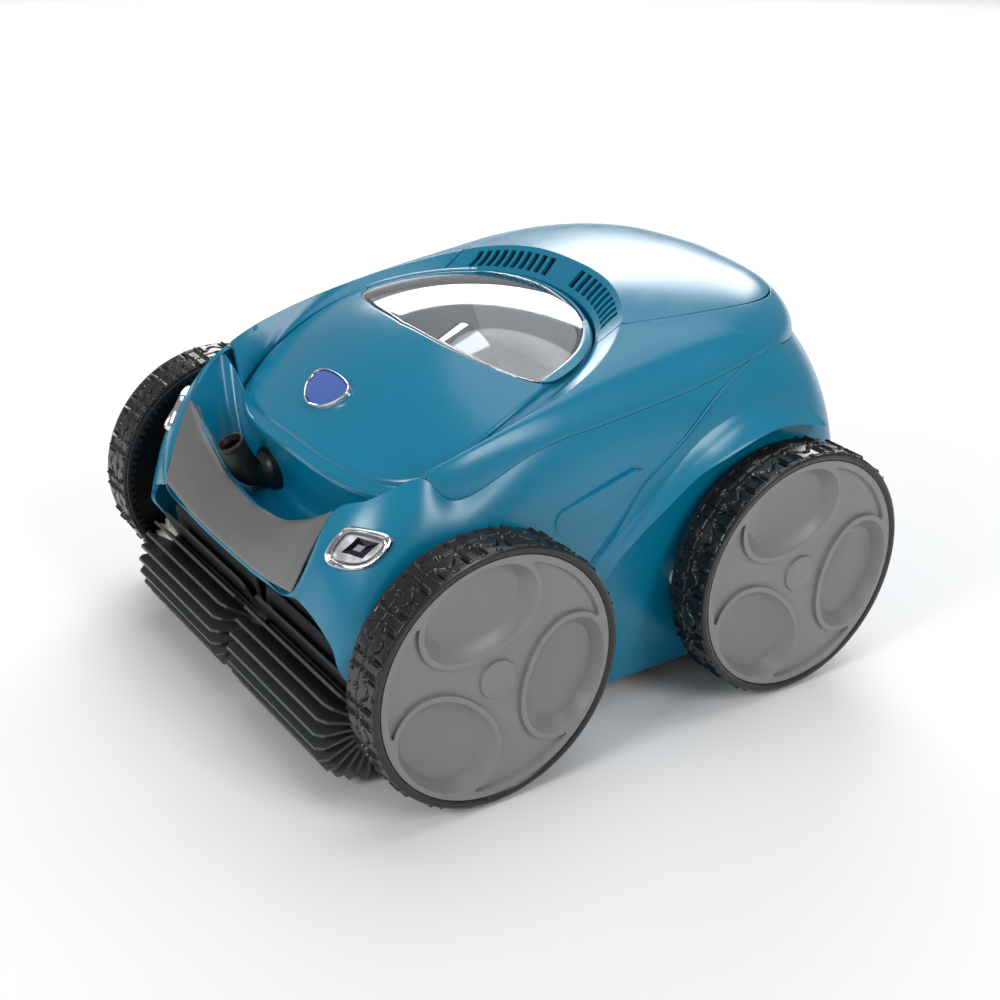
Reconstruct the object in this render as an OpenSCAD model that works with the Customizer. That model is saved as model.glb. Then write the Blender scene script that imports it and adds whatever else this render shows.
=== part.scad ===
/* [Overall] */
// Width over the outer faces of the wheels
overall_w = 430; // [380:1:520]
// Length of the body shell
body_l = 458; // [400:1:560]
// Height of the highest point of the rear deck
body_h = 284; // [250:1:340]
// Distance between the front and rear axles
wheel_base = 260; // [240:1:300]
// Thickness of the moulded covers
wall = 3; // [2:0.5:4]

/* [Wheels] */
// Diameter over the tread fins
tyre_d = 191.4; // [180:0.2:200]
// Width of a wheel, gear ring to outer face
wheel_w = 38; // [34:1:44]
// Gap between a wheel and the side of the body
wheel_gap = 5; // [4:0.5:10]
// Pairs of fins around a tyre
fin_pairs = 18; // [12:1:24]
// Diameter of the grey wheel disc
disc_d = 173.6; // [160:0.2:180]
// Diameter of a stub axle
axle_d = 16; // [12:1:20]

/* [Gears] */
// Module of every gear
gear_m = 2; // [2:1:2]
// Teeth inside a wheel rim
ring_n = 86; // [86:1:86]
// Teeth of the drive pinions and brush gears
pinion_n = 12; // [12:1:12]
// Width of the gear faces
gear_w = 7; // [5:0.5:8]
// Radius of a pinion's shaft
pinion_shaft_r = 4; // [3:0.5:5]
// Running clearance of shafts in their holes
run_gap = 0.06; // [0.03:0.01:0.1]

/* [Brushes] */
// Radius over the brush blades
brush_r = 44; // [38:1:46]
// Height of the brush axis over the floor
brush_z = 46.5; // [44:0.5:50]
// Blades around a brush
blade_n = 25; // [18:1:30]
// Thickness of a blade
blade_t = 2; // [1.5:0.1:3]
// Half of the gap between the two brushes
brush_gap = 9; // [7:1:14]
// Length of one brush
brush_l = 141; // [120:1:150]
// Radius of the brush drum
drum_r = 13; // [10:1:18]
// Radius of the fixed brush spindle
spindle_r = 4; // [3:0.5:5]

/* [Lid] */
// Thickness of the lid and its window
lid_wall = 3; // [2:0.5:4]
// Gap around the lid and around the window
lid_gap = 1; // [0.6:0.1:2]
// Travel of the latch button
latch_travel = 3; // [2:0.5:4]
// Half length of the badge-shaped latch button
badge_a = 21; // [16:0.5:24]
// Radius of the lid hinge pins
hinge_r = 1.8; // [1.5:0.1:2.5]
// Half distance between the two lid hinge barrels
hinge_x = 24; // [20:1:28]

/* [Cable elbow] */
// Bore that takes the cable end
cable_bore = 16; // [12:0.5:18]
// Outside diameter of the elbow tube
elbow_d = 21; // [19:0.5:26]
// Distance of the elbow from the middle of the body
elbow_x = -46; // [-56:1:-40]
// Length of the open end of the elbow
elbow_up = 35; // [30:1:38]
// Forward lean of the open end, in degrees
elbow_lean = 24; // [0:1:28]

/* [Filter] */
// Half width of the filter bay
bay_a = 117; // [108:1:120]
// Front end of the filter bay
bay_front = -148; // [-150:1:-140]
// Rear end of the filter bay
bay_rear = 30; // [24:1:30]
// Height of the bay floor
bay_z = 44; // [42:1:50]
// Gap between the filter canister and its bay
can_gap = 7; // [5:0.5:10]
// Height of the top of the canister body
can_top = 178; // [160:1:185]
// Width of the suction mouth
mouth_w = 150; // [120:1:170]
// Length of the suction mouth, front to back
mouth_l = 30; // [24:1:40]

/* [Pump] */
// Distance of the pump axis behind the middle of the body
pump_y = 120; // [116:1:124]
// Inside radius of the outlet duct
duct_r = 39; // [36:1:42]
// Gap between the propeller tips and the duct
tip_gap = 2.5; // [1.5:0.5:4]
// Radius of the pump motor
pump_r = 27; // [22:1:29]
// Radius of a traction motor
motor_r = 18; // [15:1:18.5]

/* [Hidden] */
$fn = 64;
teal = "#027a99";
black = "#1b1b1b";
grey = "#7d7d7d";
steel = "#b8bcc0";
dark = "#3a3d40";

// Scale of the drawn guide curves along each axis
body_half = overall_w / 2 - wheel_w - wheel_gap;
kx = body_half / 172;
ky = body_l / 458;
kz = body_h / 284;

// Places that several pieces share
axle_y = wheel_base / 2;
axle_z = tyre_d / 2;
wheel_in = overall_w / 2 - wheel_w;
pitch_r = ring_n * gear_m / 2;
pinion_r = pinion_n * gear_m / 2;
gear_c = pitch_r - pinion_r;
pinion_y = axle_y - gear_c;
idler_n = floor(2 * (pinion_y - pinion_r) / gear_m + 0.01);
brush_drop = axle_z - brush_z;
brush_y = -axle_y - sqrt(gear_c * gear_c - brush_drop * brush_drop);
brush_dir = atan2(-brush_drop, brush_y + axle_y);
frame_x = 140 * kx;
frame_t = 5;
idler_x = frame_x + frame_t + 1;
mesh_x = wheel_in + 1;
brush_end = brush_gap + brush_l;
arm_x = brush_end + 1;
arm_t = 5;
belly_z = 16;
belly_t = 4;
mouth_y = -62;

// Straight and smooth steps between values
function mix(a, b, t) = a * (1 - t) + b * t;
function ease(t) = let (c = max(0, min(1, t))) c * c * (3 - 2 * c);
function spow(v, p) = sign(v) * pow(abs(v), p);
function sized(p) = [p[0] * kx, p[1] * ky, p[2] * kz];

// A smooth curve through a list of points, u from 0 to 1
function bend(a, b, c, d, t) =
    0.5 * (2 * b + (c - a) * t + (2 * a - 5 * b + 4 * c - d) * t * t
        + (3 * b - a - 3 * c + d) * t * t * t);
function along(pts, u) =
    let (last = len(pts) - 1, s = min(u * last, last - 0.0001), i = floor(s))
    bend(pts[max(i - 1, 0)], pts[i], pts[i + 1], pts[min(i + 2, last)], s - i);

// Point i of n round a loop drawn as its half from the front middle to the back middle
function looped(half, i, n) =
    let (u = 2 * i / n, q = along(half, u <= 1 ? u : 2 - u))
    [u <= 1 ? q[0] : -q[0], q[1], q[2]];

// Normal of a grid of points at row i, column j
function grid_normal(g, i, j, loop) =
    let (r = len(g) - 1, c = len(g[0]),
        u = g[min(i + 1, r)][j] - g[max(i - 1, 0)][j],
        a = loop ? (j + 1) % c : min(j + 1, c - 1),
        b = loop ? (j + c - 1) % c : max(j - 1, 0),
        n = cross(g[i][a] - g[i][b], u))
    n / max(norm(n), 0.0001);
function inset(g, t, loop) =
    [for (i = [0:len(g) - 1]) [for (j = [0:len(g[0]) - 1]) g[i][j] - t * grid_normal(g, i, j, loop)]];
// The same, with row k kept on one side of the outer row's height: side 1 above it, -1 below it
function level(h, g, k, side) = [for (i = [0:len(h) - 1]) i != k ? h[i] :
    [for (j = [0:len(h[0]) - 1]) [h[i][j][0], h[i][j][1],
        side > 0 ? max(h[i][j][2], g[i][j][2]) : min(h[i][j][2], g[i][j][2])]]];

// Two triangles of a grid cell, seen from outside when flip is 0
function cell(a, b, c, d, flip) = flip ? [[a, b, c], [a, c, d]] : [[a, c, b], [a, d, c]];

// Solid between an outer grid g and an inner grid h, rows going up, columns anticlockwise.
// tip closes the top row of both grids with a point each.
module skin(g, h, loop = true, tip = []) {
    r = len(g);
    c = len(g[0]);
    n = r * c;
    cc = loop ? c : c - 1;
    top = len(tip) > 0;
    faces = concat(
        [for (i = [0:r - 2], j = [0:cc - 1]) let (k = (j + 1) % c)
            each cell(i * c + j, i * c + k, i * c + c + k, i * c + c + j, false)],
        [for (i = [0:r - 2], j = [0:cc - 1]) let (k = (j + 1) % c)
            each cell(n + i * c + j, n + i * c + k, n + i * c + c + k, n + i * c + c + j, true)],
        [for (j = [0:cc - 1]) let (k = (j + 1) % c) each cell(j, k, n + k, n + j, true)],
        top ? [for (j = [0:cc - 1]) let (k = (j + 1) % c) [n - c + j, 2 * n, n - c + k]] : [],
        top ? [for (j = [0:cc - 1]) let (k = (j + 1) % c) [2 * n - c + j, 2 * n - c + k, 2 * n + 1]] : [],
        top ? [] : [for (j = [0:cc - 1]) let (k = (j + 1) % c)
            each cell(n - c + j, n - c + k, 2 * n - c + k, 2 * n - c + j, false)],
        loop ? [] : [for (i = [0:r - 2])
            each cell(i * c, i * c + c, n + i * c + c, n + i * c, false)],
        loop ? [] : [for (i = [0:r - 2])
            each cell(i * c + c - 1, i * c + 2 * c - 1, n + i * c + 2 * c - 1, n + i * c + c - 1, true)]);
    polyhedron(concat([for (row = g) each row], [for (row = h) each row], tip), faces, convexity = 6);
}

// Left and right copies of a piece
module both() {
    children();
    mirror([1, 0, 0]) children();
}

// A disc or bar with its axis along +X from x = 0
module bar_x(r, l) {
    rotate([0, 90, 0]) cylinder(r = r, h = l);
}

// ---- Guide curves of the covers, right half, from the front middle to the back middle ----
// Lower edge of the body shell: brush arch, then down behind the front wheel, then the sides
shell_low = [[0, -214, 116], [55, -215, 119], [100, -215, 127], [120, -213, 122], [142, -212, 111],
    [154, -208, 90], [160, -168, 48], [158, -70, 16], [154, 0, 16], [154, 70, 16], [154, 140, 18],
    [152, 200, 40], [86, 221, 42], [0, 224, 42]];
// Fullest line of the body shell
shell_mid = [[0, -217, 119], [55, -218, 122], [102, -218, 130.5], [119, -208, 156], [142, -198, 156],
    [161, -178, 152], [169, -130, 142], [170, -62, 138], [168, 0, 140], [170, 70, 150],
    [173, 140, 165], [164, 198, 160], [98, 226, 165], [0, 229.3, 165]];
// Upper edge of the body shell: under the handle, up beside it, along the rim and down the seam
shell_top = [[0, -216, 122], [55, -217, 125], [101, -218, 134], [110, -192, 187], [130, -173, 201],
    [142, -144, 213], [154, -122, 197], [157, -60, 219], [158, 0, 226], [157, 70, 234],
    [152, 134, 245], [127, 184, 240], [76, 217, 233], [0, 227, 230]];

// Outer rim of the hood round the lid, t = -90 at the front and 90 at the back
function rim_xy(a, bf, bb, cy, n, t) =
    [a * spow(cos(t), 2 / n), cy + (t > 0 ? bb : bf) * spow(sin(t), 2 / n)];
function rim_out(t) =
    let (q = rim_xy(145.7, 135.8, 170.6, -94.2, 2.52, t), u = q[1] / 100)
    [q[0], q[1], 254 + 27.5 * u + 7.9 * u * u + 5.5 * u * u * u];
// Ridge of the lid along its middle, and its fall to the sides
ridge = [[-172, 195], [-150, 211], [-132, 224], [-115, 236], [-100, 246], [-85, 254.5], [-70, 261],
    [-50, 268], [-25, 273], [0, 274], [30, 271], [45, 268], [62, 264]];
lid_fall = 0.0018;
function lid_z(x, y) = lookup(y, ridge) - lid_fall * x * x;
// Opening for the lid, less an even margin
function lid_line(t, in) =
    let (q = rim_xy(135.6 - in, 73 - in, 155.6 - in, -98.2, 2.39, t))
    [q[0], q[1], lid_z(q[0], q[1])];

cols = 64;
seam_gap = 0.4;
function shell_row(w, n) = [for (i = [0:n - 1])
    let (b = looped(shell_low, i, n), m = looped(shell_mid, i, n), t = looped(shell_top, i, n))
    sized(b * (1 - w) * (1 - 2 * w) + m * 4 * w * (1 - w) + (t - [0, 0, seam_gap]) * w * (2 * w - 1))];
function shell_grid(n) = [for (w = [0:1 / 7:1.001]) shell_row(w, n)];

// The teal lower moulding: front corners, sides and rear wheel arches
module body_shell() {
    g = shell_grid(cols);
    color(teal) difference() {
        union() {
            skin(g, level(inset(g, wall, true), g, len(g) - 1, -1));
            both() rear_arch();
        }
        both() {
            for (y = [-axle_y, axle_y]) translate([120 * kx, y, axle_z]) bar_x(axle_d / 2 + 3.2, 80);
            for (y = [-pinion_y, pinion_y]) translate([120 * kx, y, axle_z]) bar_x(pinion_r + 3, 80);
            translate([wheel_in - 1.5, -axle_y, axle_z]) bar_x(tyre_d / 2 + 4, 60);
            translate([wheel_in - 1.5, axle_y, axle_z]) bar_x(tyre_d / 2 + 2.5, 60);
            on_corner() translate([0, 0, -20]) linear_extrude(40) polygon([for (p = trim_line) p * 1.015]);
            side_drop(0.3);
        }
    }
}

// Flared lip of the body over a rear wheel
module rear_arch() {
    lip_r = tyre_d / 2 + 3;
    translate([body_half - 14, axle_y, axle_z]) rotate([0, 90, 0]) rotate([0, 0, 148])
        rotate_extrude(angle = 72) translate([lip_r, 0]) square([6, 26]);
}

// Dark plate under the machine, with the suction mouth
module belly_pan() {
    x = frame_x - 2;
    color(dark) difference() {
        union() {
            translate([-x, -138, belly_z]) cube([2 * x, 138 + 200 * ky, belly_t]);
            translate([-x, -140, belly_z]) cube([2 * x, 4, 24]);
            translate([-x, 196 * ky, belly_z]) cube([2 * x, 4, 30]);
            for (y = [0:1]) translate([-mouth_w / 2 - 3, mouth_y - mouth_l / 2 - 3 + y * (mouth_l + 3), belly_z])
                cube([mouth_w + 6, 3, 18]);
        }
        translate([-mouth_w / 2, mouth_y - mouth_l / 2, belly_z - 1]) cube([mouth_w, mouth_l, 40]);
        for (p = screw_spots) translate([p[0], p[1], belly_z - 1]) {
            cylinder(r = 2.2, h = 10);
            cylinder(r = 5, h = 2.7);
        }
    }
}
screw_spots = [for (x = [-1, 1], y = [-124, -10, 60, 190]) [x * 112, y * ky]];

// Flat-head screws that hold the belly plate, their heads sunk in it
module case_screws() {
    color(steel) for (p = screw_spots) translate([p[0], p[1], belly_z]) {
        translate([0, 0, 0.2]) cylinder(r = 4.6, h = 1.5);
        translate([0, 0, 1.6]) cylinder(r = 2.1, h = 7.4);
    }
}

// ---- Hood and rear deck ----
front_t = -16.8;
split = 0.626;
function seam_point(s) = along(shell_top, (5 + 8 * s) / 13);
// How far the deck panel reaches from the rim (0) to the side seam (1)
function deck_edge(s) = 0.9 * (1 - pow(1 - max(0, (s - split) / (1 - split)), 5));
function hood_point(s, v) =
    let (a = rim_out(mix(front_t, 90, s)), b = seam_point(s), k = ease((s - 0.3) / 0.7),
        m = mix(1.7, 5, k), q = mix(0.75, 0.4, k), xy = mix(a, b, v),
        z = b[2] + (a[2] - b[2]) * pow(1 - pow(v, m), q))
    [xy[0], xy[1], z];
function hood_inner(s) = lid_line(mix(-38, 90, pow(s, 0.88)), -lid_gap);
function flipped(p, side) = sized([side * p[0], p[1], p[2]]);
// s runs 0..1 up the right side and back down the left one
function both_sides(t) = t <= 1 ? [t, 1] : [2 - t, -1];

function hood_side_rows(side, n) = let (ss = [for (j = [0:n]) mix(0.02, split, side > 0 ? j / n : 1 - j / n)])
    concat(
        [for (v = [1:-1 / 6:-0.001]) [for (s = ss) flipped(hood_point(s, max(v, 0)), side)]],
        [[for (s = ss) flipped(hood_inner(s), side)]],
        [[for (s = ss) flipped(hood_inner(s) - [0, 0, 9], side)]]);
function hood_rear_rows(n) =
    [for (w = [1, 0.75, 0.5, 0.25, 0]) [for (j = [0:n]) let (b = both_sides(split + 2 * (1 - split) * j / n))
        flipped(hood_point(b[0], mix(deck_edge(b[0]), 1, w)), b[1])]];

// The teal upper moulding that rings the lid
module hood() {
    right = hood_side_rows(1, 18);
    left = hood_side_rows(-1, 18);
    rear = hood_rear_rows(30);
    color(teal) {
        for (g = [right, left, rear]) skin(g, level(inset(g, wall, false), g, 0, 1), false);
    }
}

function deck_rows(n) = let (d = split + 0.006)
    concat(
        [for (w = [1, 0.94, 0.8, 0.6, 0.4, 0.2, 0]) [for (j = [0:n])
            let (b = both_sides(d + 2 * (1 - d) * j / n))
            flipped(hood_point(b[0], max(0, w * (deck_edge(b[0]) - 0.014))), b[1])]],
        [[for (j = [0:n]) let (b = both_sides(d + 2 * (1 - d) * j / n)) flipped(hood_inner(b[0]), b[1])]],
        [[for (j = [0:n]) let (b = both_sides(d + 2 * (1 - d) * j / n))
            flipped(hood_inner(b[0]) - [0, 0, 9], b[1])]]);

// The rear deck panel with its two fans of outlet slots
module rear_deck() {
    g = deck_rows(36);
    color(teal) difference() {
        union() {
            skin(g, inset(g, wall, false), false);
            both() for (x = [-9.5, 6.5]) translate([hinge_x + x, hinge_y, hinge_z - 4]) {
                bar_x(hinge_r + 1.6, 3);
                translate([0, -1, -6]) cube([3, 6, 7]);
            }
        }
        both() translate([hinge_x - 6, hinge_y - 12, hinge_z - 12]) cube([12, 17, 20]);
        both() translate([hinge_x - 8, hinge_y, hinge_z - 4]) bar_x(hinge_r, 16);
        for (side = [-1, 1], i = [0:8]) {
            t = 54 + i * 3.8;
            a = rim_out(t);
            b = lid_line(t, -lid_gap);
            slot = [side * (a[0] + b[0]) / 2 * kx, (a[1] + b[1]) / 2 * ky, (a[2] + b[2]) / 2 * kz];
            translate(slot) rotate([0, 0, side * (90 - t) * -0.6]) cube([4, 13, 34], center = true);
        }
    }
}

// ---- Recess, handle and front trim ----
tub_rim = [[0, -191.5, 149], [45, -190.5, 155], [78, -187, 170], [102, -182, 184], [117, -171, 190],
    [121, -160, 192], [108, -157.5, 186], [62, -171, 186], [0, -174.5, 191]];
tub_wall = [[0, -191, 144], [45, -190, 145], [76, -185, 150], [96, -178, 156], [106, -168, 160],
    [106, -160, 160], [98, -160, 158], [56, -166, 164], [0, -168, 172]];
tub_floor = [[0, -186, 138], [40, -184, 138], [66, -181, 138], [82, -176, 140], [90, -170, 141],
    [90, -165, 141], [82, -161, 140], [48, -160, 139], [0, -160, 138]];
function plain_loop(half, n) = [for (i = [0:n - 1]) sized(looped(half, i, n))];

// The teal tray behind the handle
module front_tub() {
    n = 48;
    g = [plain_loop(tub_rim, n), plain_loop(tub_wall, n), plain_loop(tub_floor, n)];
    h = [for (row = g) [for (i = [0:n - 1]) row[i] + out_step(row, i, n) * 2.5 - [0, 0, row == g[2] ? 2.5 : 0]]];
    mid = sized([0, -172, 138]);
    gland = gland_at();
    color(teal) difference() {
        skin(g, h, true, [mid, mid - [0, 0, 2.5]]);
        translate(gland + [0, 20, 0]) rotate([90, 0, 0]) cylinder(r = gland_r + 1.2, h = 40);
    }
}
function out_step(row, i, n) =
    let (d = row[(i + 1) % n] - row[(i + n - 1) % n], p = [d[1], -d[0], 0]) p / max(norm(p), 0.001);

handle_low = [[-101, -218, 134], [-55, -217.5, 125.5], [0, -216.5, 122.5], [55, -217.5, 125.5], [101, -218, 134]];
handle_edge = [[-109.5, -193, 187], [-98, -196, 179], [-80, -198, 169], [-45, -200.5, 154], [0, -202, 148],
    [45, -200.5, 154], [80, -198, 169], [98, -196, 179], [109.5, -193, 187]];
handle_back = [[-106, -187, 186], [-92, -189, 177.5], [-76, -191, 169], [-43, -193, 156], [0, -194, 150],
    [43, -193, 156], [76, -191, 169], [92, -189, 177.5], [106, -187, 186]];
handle_foot = [[-96, -209, 134], [-50, -206, 126], [0, -204, 123], [50, -206, 126], [96, -209, 134]];

// The grey crescent handle across the nose
module front_handle() {
    n = 28;
    lift = [0, 0, 0.4];
    low = [for (j = [0:n]) sized(along(handle_low, j / n)) + lift];
    edge = [for (j = [0:n]) sized(along(handle_edge, j / n))];
    back = [for (j = [0:n]) sized(along(handle_back, j / n))];
    foot = [for (j = [0:n]) sized(along(handle_foot, j / n)) + lift];
    mid = [for (j = [0:n]) mix(low[j], edge[j], 0.5) + [0, -2, 0]];
    color("#6b6b6b") skin([low, mid, edge], [foot, mix(foot, back, 0.5), back], false);
}

// A rounded outline for the corner trims: four corners, each an arc
function corner_arc(c, r, a0, a1) = [for (a = [a0:(a1 - a0) / 5:a1 + 0.01]) c + r * [cos(a), sin(a)]];
trim_line = concat(corner_arc([22, 9], 6, -20, 80), corner_arc([-8, 10], 8, 80, 140),
    corner_arc([-22, -8], 6, 140, 250), corner_arc([8, -9], 9, 250, 330));
// Pose of a trim on the right front corner: place, then turned to face outwards
module on_corner() {
    at = sized([136, -186, 172]);
    translate(at) rotate([0, 0, 46]) rotate([68, 0, 0]) children();
}

// Chrome surrounds of the two corner trims
module light_bezels() {
    color("#c9ccd0") both() on_corner() difference() {
        translate([0, 0, -4]) linear_extrude(8) polygon(trim_line);
        translate([0, 0, -1]) linear_extrude(8) polygon([for (p = trim_line) p * 0.84]);
    }
}

// Dark mirror inserts of the corner trims
module light_lenses() {
    color("#2b2b30") both() on_corner() translate([0, 0, -0.95]) {
        linear_extrude(1.6) polygon([for (p = trim_line) p * 0.8]);
        translate([-1, 0, 1.6]) linear_extrude(1.2) polygon([for (p = trim_line) p * 0.42]);
    }
}

// Teardrop outline, wider by grow all round
module side_drop(grow) {
    r = 11 + grow;
    drop = concat([for (a = [90:20:270]) [-26 + r * cos(a), -6 + r * sin(a)]],
        [[34, 10 - grow], [37 + grow, 17], [30, 19 + grow]]);
    translate([body_half - 5.6 - grow, -20 * ky, 172 * kz]) rotate([90, 0, 90])
        linear_extrude(3 + 2 * grow) polygon(drop);
}

// Teardrop caps let into the sides
module side_caps() {
    color(teal) both() side_drop(0);
}

// ---- Lid ----
window_line = [[0, -73], [48, -68], [92, -54], [119, -34], [117.5, -10], [104, 13], [80, 32], [44, 45.5], [0, 50.5]];
lid_n = 56;
hinge_y = 60.5 * ky;
hinge_z = 267.2 * kz;
function lid_edge_at(i, n, in) =
    let (u = 2 * i / n, w = u <= 1 ? u : 2 - u, q = lid_line(mix(-90, 90, w), in)) [u <= 1 ? q[0] : -q[0], q[1]];
function window_at(i, n, out) =
    let (q = looped([for (p = window_line) [p[0], p[1], 0]], i, n), c = [0, -8], d = [q[0], q[1]] - c)
    c + d * (1 + out / norm(d));
function on_lid(p, drop) = sized([p[0], p[1], lid_z(p[0], p[1]) - drop]);

// Lid moulding: the teal front and the rim that holds the window
module lid_shell() {
    edge = [for (i = [0:lid_n - 1]) lid_edge_at(i, lid_n, lid_gap / 2)];
    hole = [for (i = [0:lid_n - 1]) window_at(i, lid_n, 0)];
    g = concat([[for (p = edge) on_lid(p, 7)], [for (p = edge) on_lid(p, 1.2)]],
        [for (w = [0.06, 0.35, 0.68, 1]) [for (i = [0:lid_n - 1]) on_lid(mix(edge[i], hole[i], w), 0)]]);
    h = concat([[for (p = edge) on_lid(p * 0.975, 7)], [for (p = edge) on_lid(p * 0.975, 1.2 + lid_wall)]],
        [for (w = [0.1, 0.35, 0.68, 1]) [for (i = [0:lid_n - 1]) on_lid(mix(edge[i], hole[i], w), lid_wall)]]);
    color(teal) difference() {
        union() {
            skin(g, h);
            both() translate([hinge_x - 5, hinge_y, hinge_z - 4]) {
                bar_x(hinge_r + 1.6, 10);
                translate([0, -9, -3]) cube([10, 9, 4]);
            }
        }
        both() translate([hinge_x - 8, hinge_y, hinge_z - 4]) bar_x(hinge_r + run_gap, 16);
        badge_frame() translate([0, 0, -16]) linear_extrude(26) badge_shape(1);
    }
}

// Clear window over the filter
module lid_window() {
    ring = [for (i = [0:lid_n - 1]) window_at(i, lid_n, -0.5)];
    g = [for (w = [0, 0.3, 0.6, 0.85]) [for (p = ring) on_lid(mix(p, [0, -8], w), 0)]];
    h = [for (w = [0, 0.3, 0.6, 0.85]) [for (p = ring) on_lid(mix(p, [0, -8], w), lid_wall)]];
    color("#c8d2d8", 0.4) skin(g, h, true, [on_lid([0, -8], 0), on_lid([0, -8], lid_wall)]);
}

// The badge lies on the slope of the lid
module badge_frame() {
    translate(sized([0, -133, lid_z(0, -133)])) rotate([36, 0, 0]) children();
}
// Shield outline: nearly straight top, rounded foot
module badge_shape(grow) {
    a = badge_a + grow;
    b = badge_a * 0.66 + grow;
    polygon([for (t = [0:10:350]) [a * spow(cos(t), 0.7), b * (sin(t) > 0 ? 0.8 * spow(sin(t), 0.55) : 1.05 * sin(t))]]);
}

// Chrome rim round the latch button
module badge_bezel() {
    color("#d5d7da") badge_frame() difference() {
        translate([0, 0, -10.5]) linear_extrude(13) badge_shape(1.2);
        translate([0, 0, -9]) linear_extrude(13) badge_shape(-1);
        translate([0, 0, -11]) cylinder(r = 3.1, h = 4);
    }
}

// Blue push button that frees the lid
module latch_button() {
    color("#5f63b8") badge_frame() {
        translate([0, 0, -2.5]) linear_extrude(4.4) badge_shape(-1.4);
        translate([0, 0, -12.5]) cylinder(r = 3, h = 11);
        translate([0, 0, -12.5]) cylinder(r = 4.4, h = 1.5);
    }
}

// Return spring of the latch button
module latch_spring() {
    color(steel) badge_frame() translate([0, 0, -9]) difference() {
        cylinder(r = 5, h = 6.5);
        translate([0, 0, -1]) cylinder(r = 3.6, h = 9);
    }
}

// Pins of the two lid hinges
module lid_hinge_pins() {
    color(steel) both() translate([hinge_x - 7.5, hinge_y, hinge_z - 4]) bar_x(hinge_r, 15);
}

// Rubber seal on the rim of the filter bay
module lid_gasket() {
    n = 56;
    function ring(in, z) = [for (i = [0:n - 1]) let (q = lid_edge_at(i, n, in)) sized([q[0], q[1], lid_z(q[0], q[1]) - z])];
    color(black) skin([ring(8, 12), ring(8, 4)], [ring(11, 12), ring(11, 4)]);
}

// ---- Cable entry ----
gland_r = 15.5;
function gland_at() = sized([elbow_x, -159, 151]);
elbow_reach = 16;

// Fixed collar that the elbow turns in
module cable_gland() {
    color(black) translate(gland_at()) rotate([90, 0, 0]) difference() {
        union() {
            translate([0, 0, -8]) cylinder(r = gland_r, h = 12);
            cylinder(r = gland_r + 1, h = 3);
        }
        translate([0, 0, -9]) cylinder(r = elbow_d / 2 + run_gap, h = 20);
    }
}

// Swivelling elbow that takes the floating cable
module cable_elbow() {
    r = elbow_d / 2;
    color(black) translate(gland_at()) difference() {
        union() {
            translate([0, 6, 0]) rotate([90, 0, 0]) cylinder(r = r, h = 6 + elbow_reach);
            translate([0, -4.2, 0]) rotate([90, 0, 0]) cylinder(r = r + 2.5, h = 2.4);
            translate([0, -elbow_reach, 0]) sphere(r = r + 1);
            elbow_end(0) cylinder(r = r, h = elbow_up);
        }
        elbow_end(elbow_up - 20) cylinder(r = cable_bore / 2, h = 21);
    }
}
// Pose of the open end: its axis leans forwards from vertical
module elbow_end(up) {
    translate([0, -elbow_reach, 0]) rotate([elbow_lean, 0, 0]) translate([0, 0, up]) children();
}

// ---- Wheels ----
// Places a wheel piece: end = -1 front, 1 rear; drawn with its inner face at x = 0
module at_wheel(end) {
    translate([wheel_in, end * axle_y, axle_z]) children();
}
rim_r = 90.5;
web_x = 20;

// Rubber tyre: tread band, paired fins and an outer bead
module tyre(end) {
    tread_r = tyre_d / 2 - 2.6;
    pitch = 360 / fin_pairs;
    at_wheel(end) color(black) difference() {
        union() {
            translate([4, 0, 0]) rotate([90, 0, 90]) linear_extrude(wheel_w - 7) union() {
                circle(r = tread_r);
                for (i = [0:fin_pairs - 1], s = [-2.7, 2.7]) rotate([0, 0, i * pitch + s])
                    translate([tread_r - 1, -0.8]) square([3.6, 1.6]);
            }
            translate([wheel_w - 6, 0, 0]) rotate([0, 90, 0]) cylinder(r1 = tyre_d / 2 - 0.6, r2 = disc_d / 2 + 3, h = 5);
        }
        translate([-1, 0, 0]) bar_x(rim_r, wheel_w - 4);
        translate([-1, 0, 0]) bar_x(disc_d / 2 + 0.3, wheel_w + 4);
    }
}

// Involute profile, in degrees and millimetres
press = 20;
function inv_deg(a) = tan(a) * 180 / PI - a;
function half_tooth(n, r, slack) =
    let (rp = n * gear_m / 2, rb = rp * cos(press), c = min(1, rb / r))
    90 / n + inv_deg(press) - inv_deg(acos(c)) + slack / rp * 180 / PI;
// Closed outline of n teeth between a foot and a tip radius, tooth 0 centred on angle 0
function tooth_line(n, foot, tip, slack) = let (rs = [foot, mix(foot, tip, 0.5), tip])
    [for (k = [0:n - 1]) each concat(
        [for (r = rs) let (a = 360 * k / n - half_tooth(n, r, slack)) r * [cos(a), sin(a)]],
        [for (i = [2:-1:0]) let (r = rs[i], a = 360 * k / n + half_tooth(n, r, slack)) r * [cos(a), sin(a)]])];
module spur(n, l) {
    rp = n * gear_m / 2;
    linear_extrude(l) polygon(tooth_line(n, rp - 2.1, rp + 1.5, -0.12));
}

// Black wheel rim with the toothed drive ring inside its inner edge
module rim(end) {
    at_wheel(end) color("#26282a") difference() {
        union() {
            difference() {
                bar_x(rim_r, wheel_w - 6);
                translate([-1, 0, 0]) rotate([90, 0, 90]) linear_extrude(gear_w + 3)
                    polygon(tooth_line(ring_n, pitch_r - 1.5, pitch_r + 2.1, 0.12));
                translate([gear_w + 2, 0, 0]) bar_x(rim_r - 2.6, web_x - gear_w - 2);
                translate([web_x + 5, 0, 0]) bar_x(disc_d / 2 + 0.4, wheel_w);
            }
            translate([1, 0, 0]) bar_x(axle_d / 2 + 8, wheel_w - 12.3);
        }
        translate([-1, 0, 0]) bar_x(axle_d / 2 + run_gap, wheel_w);
    }
}

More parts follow.
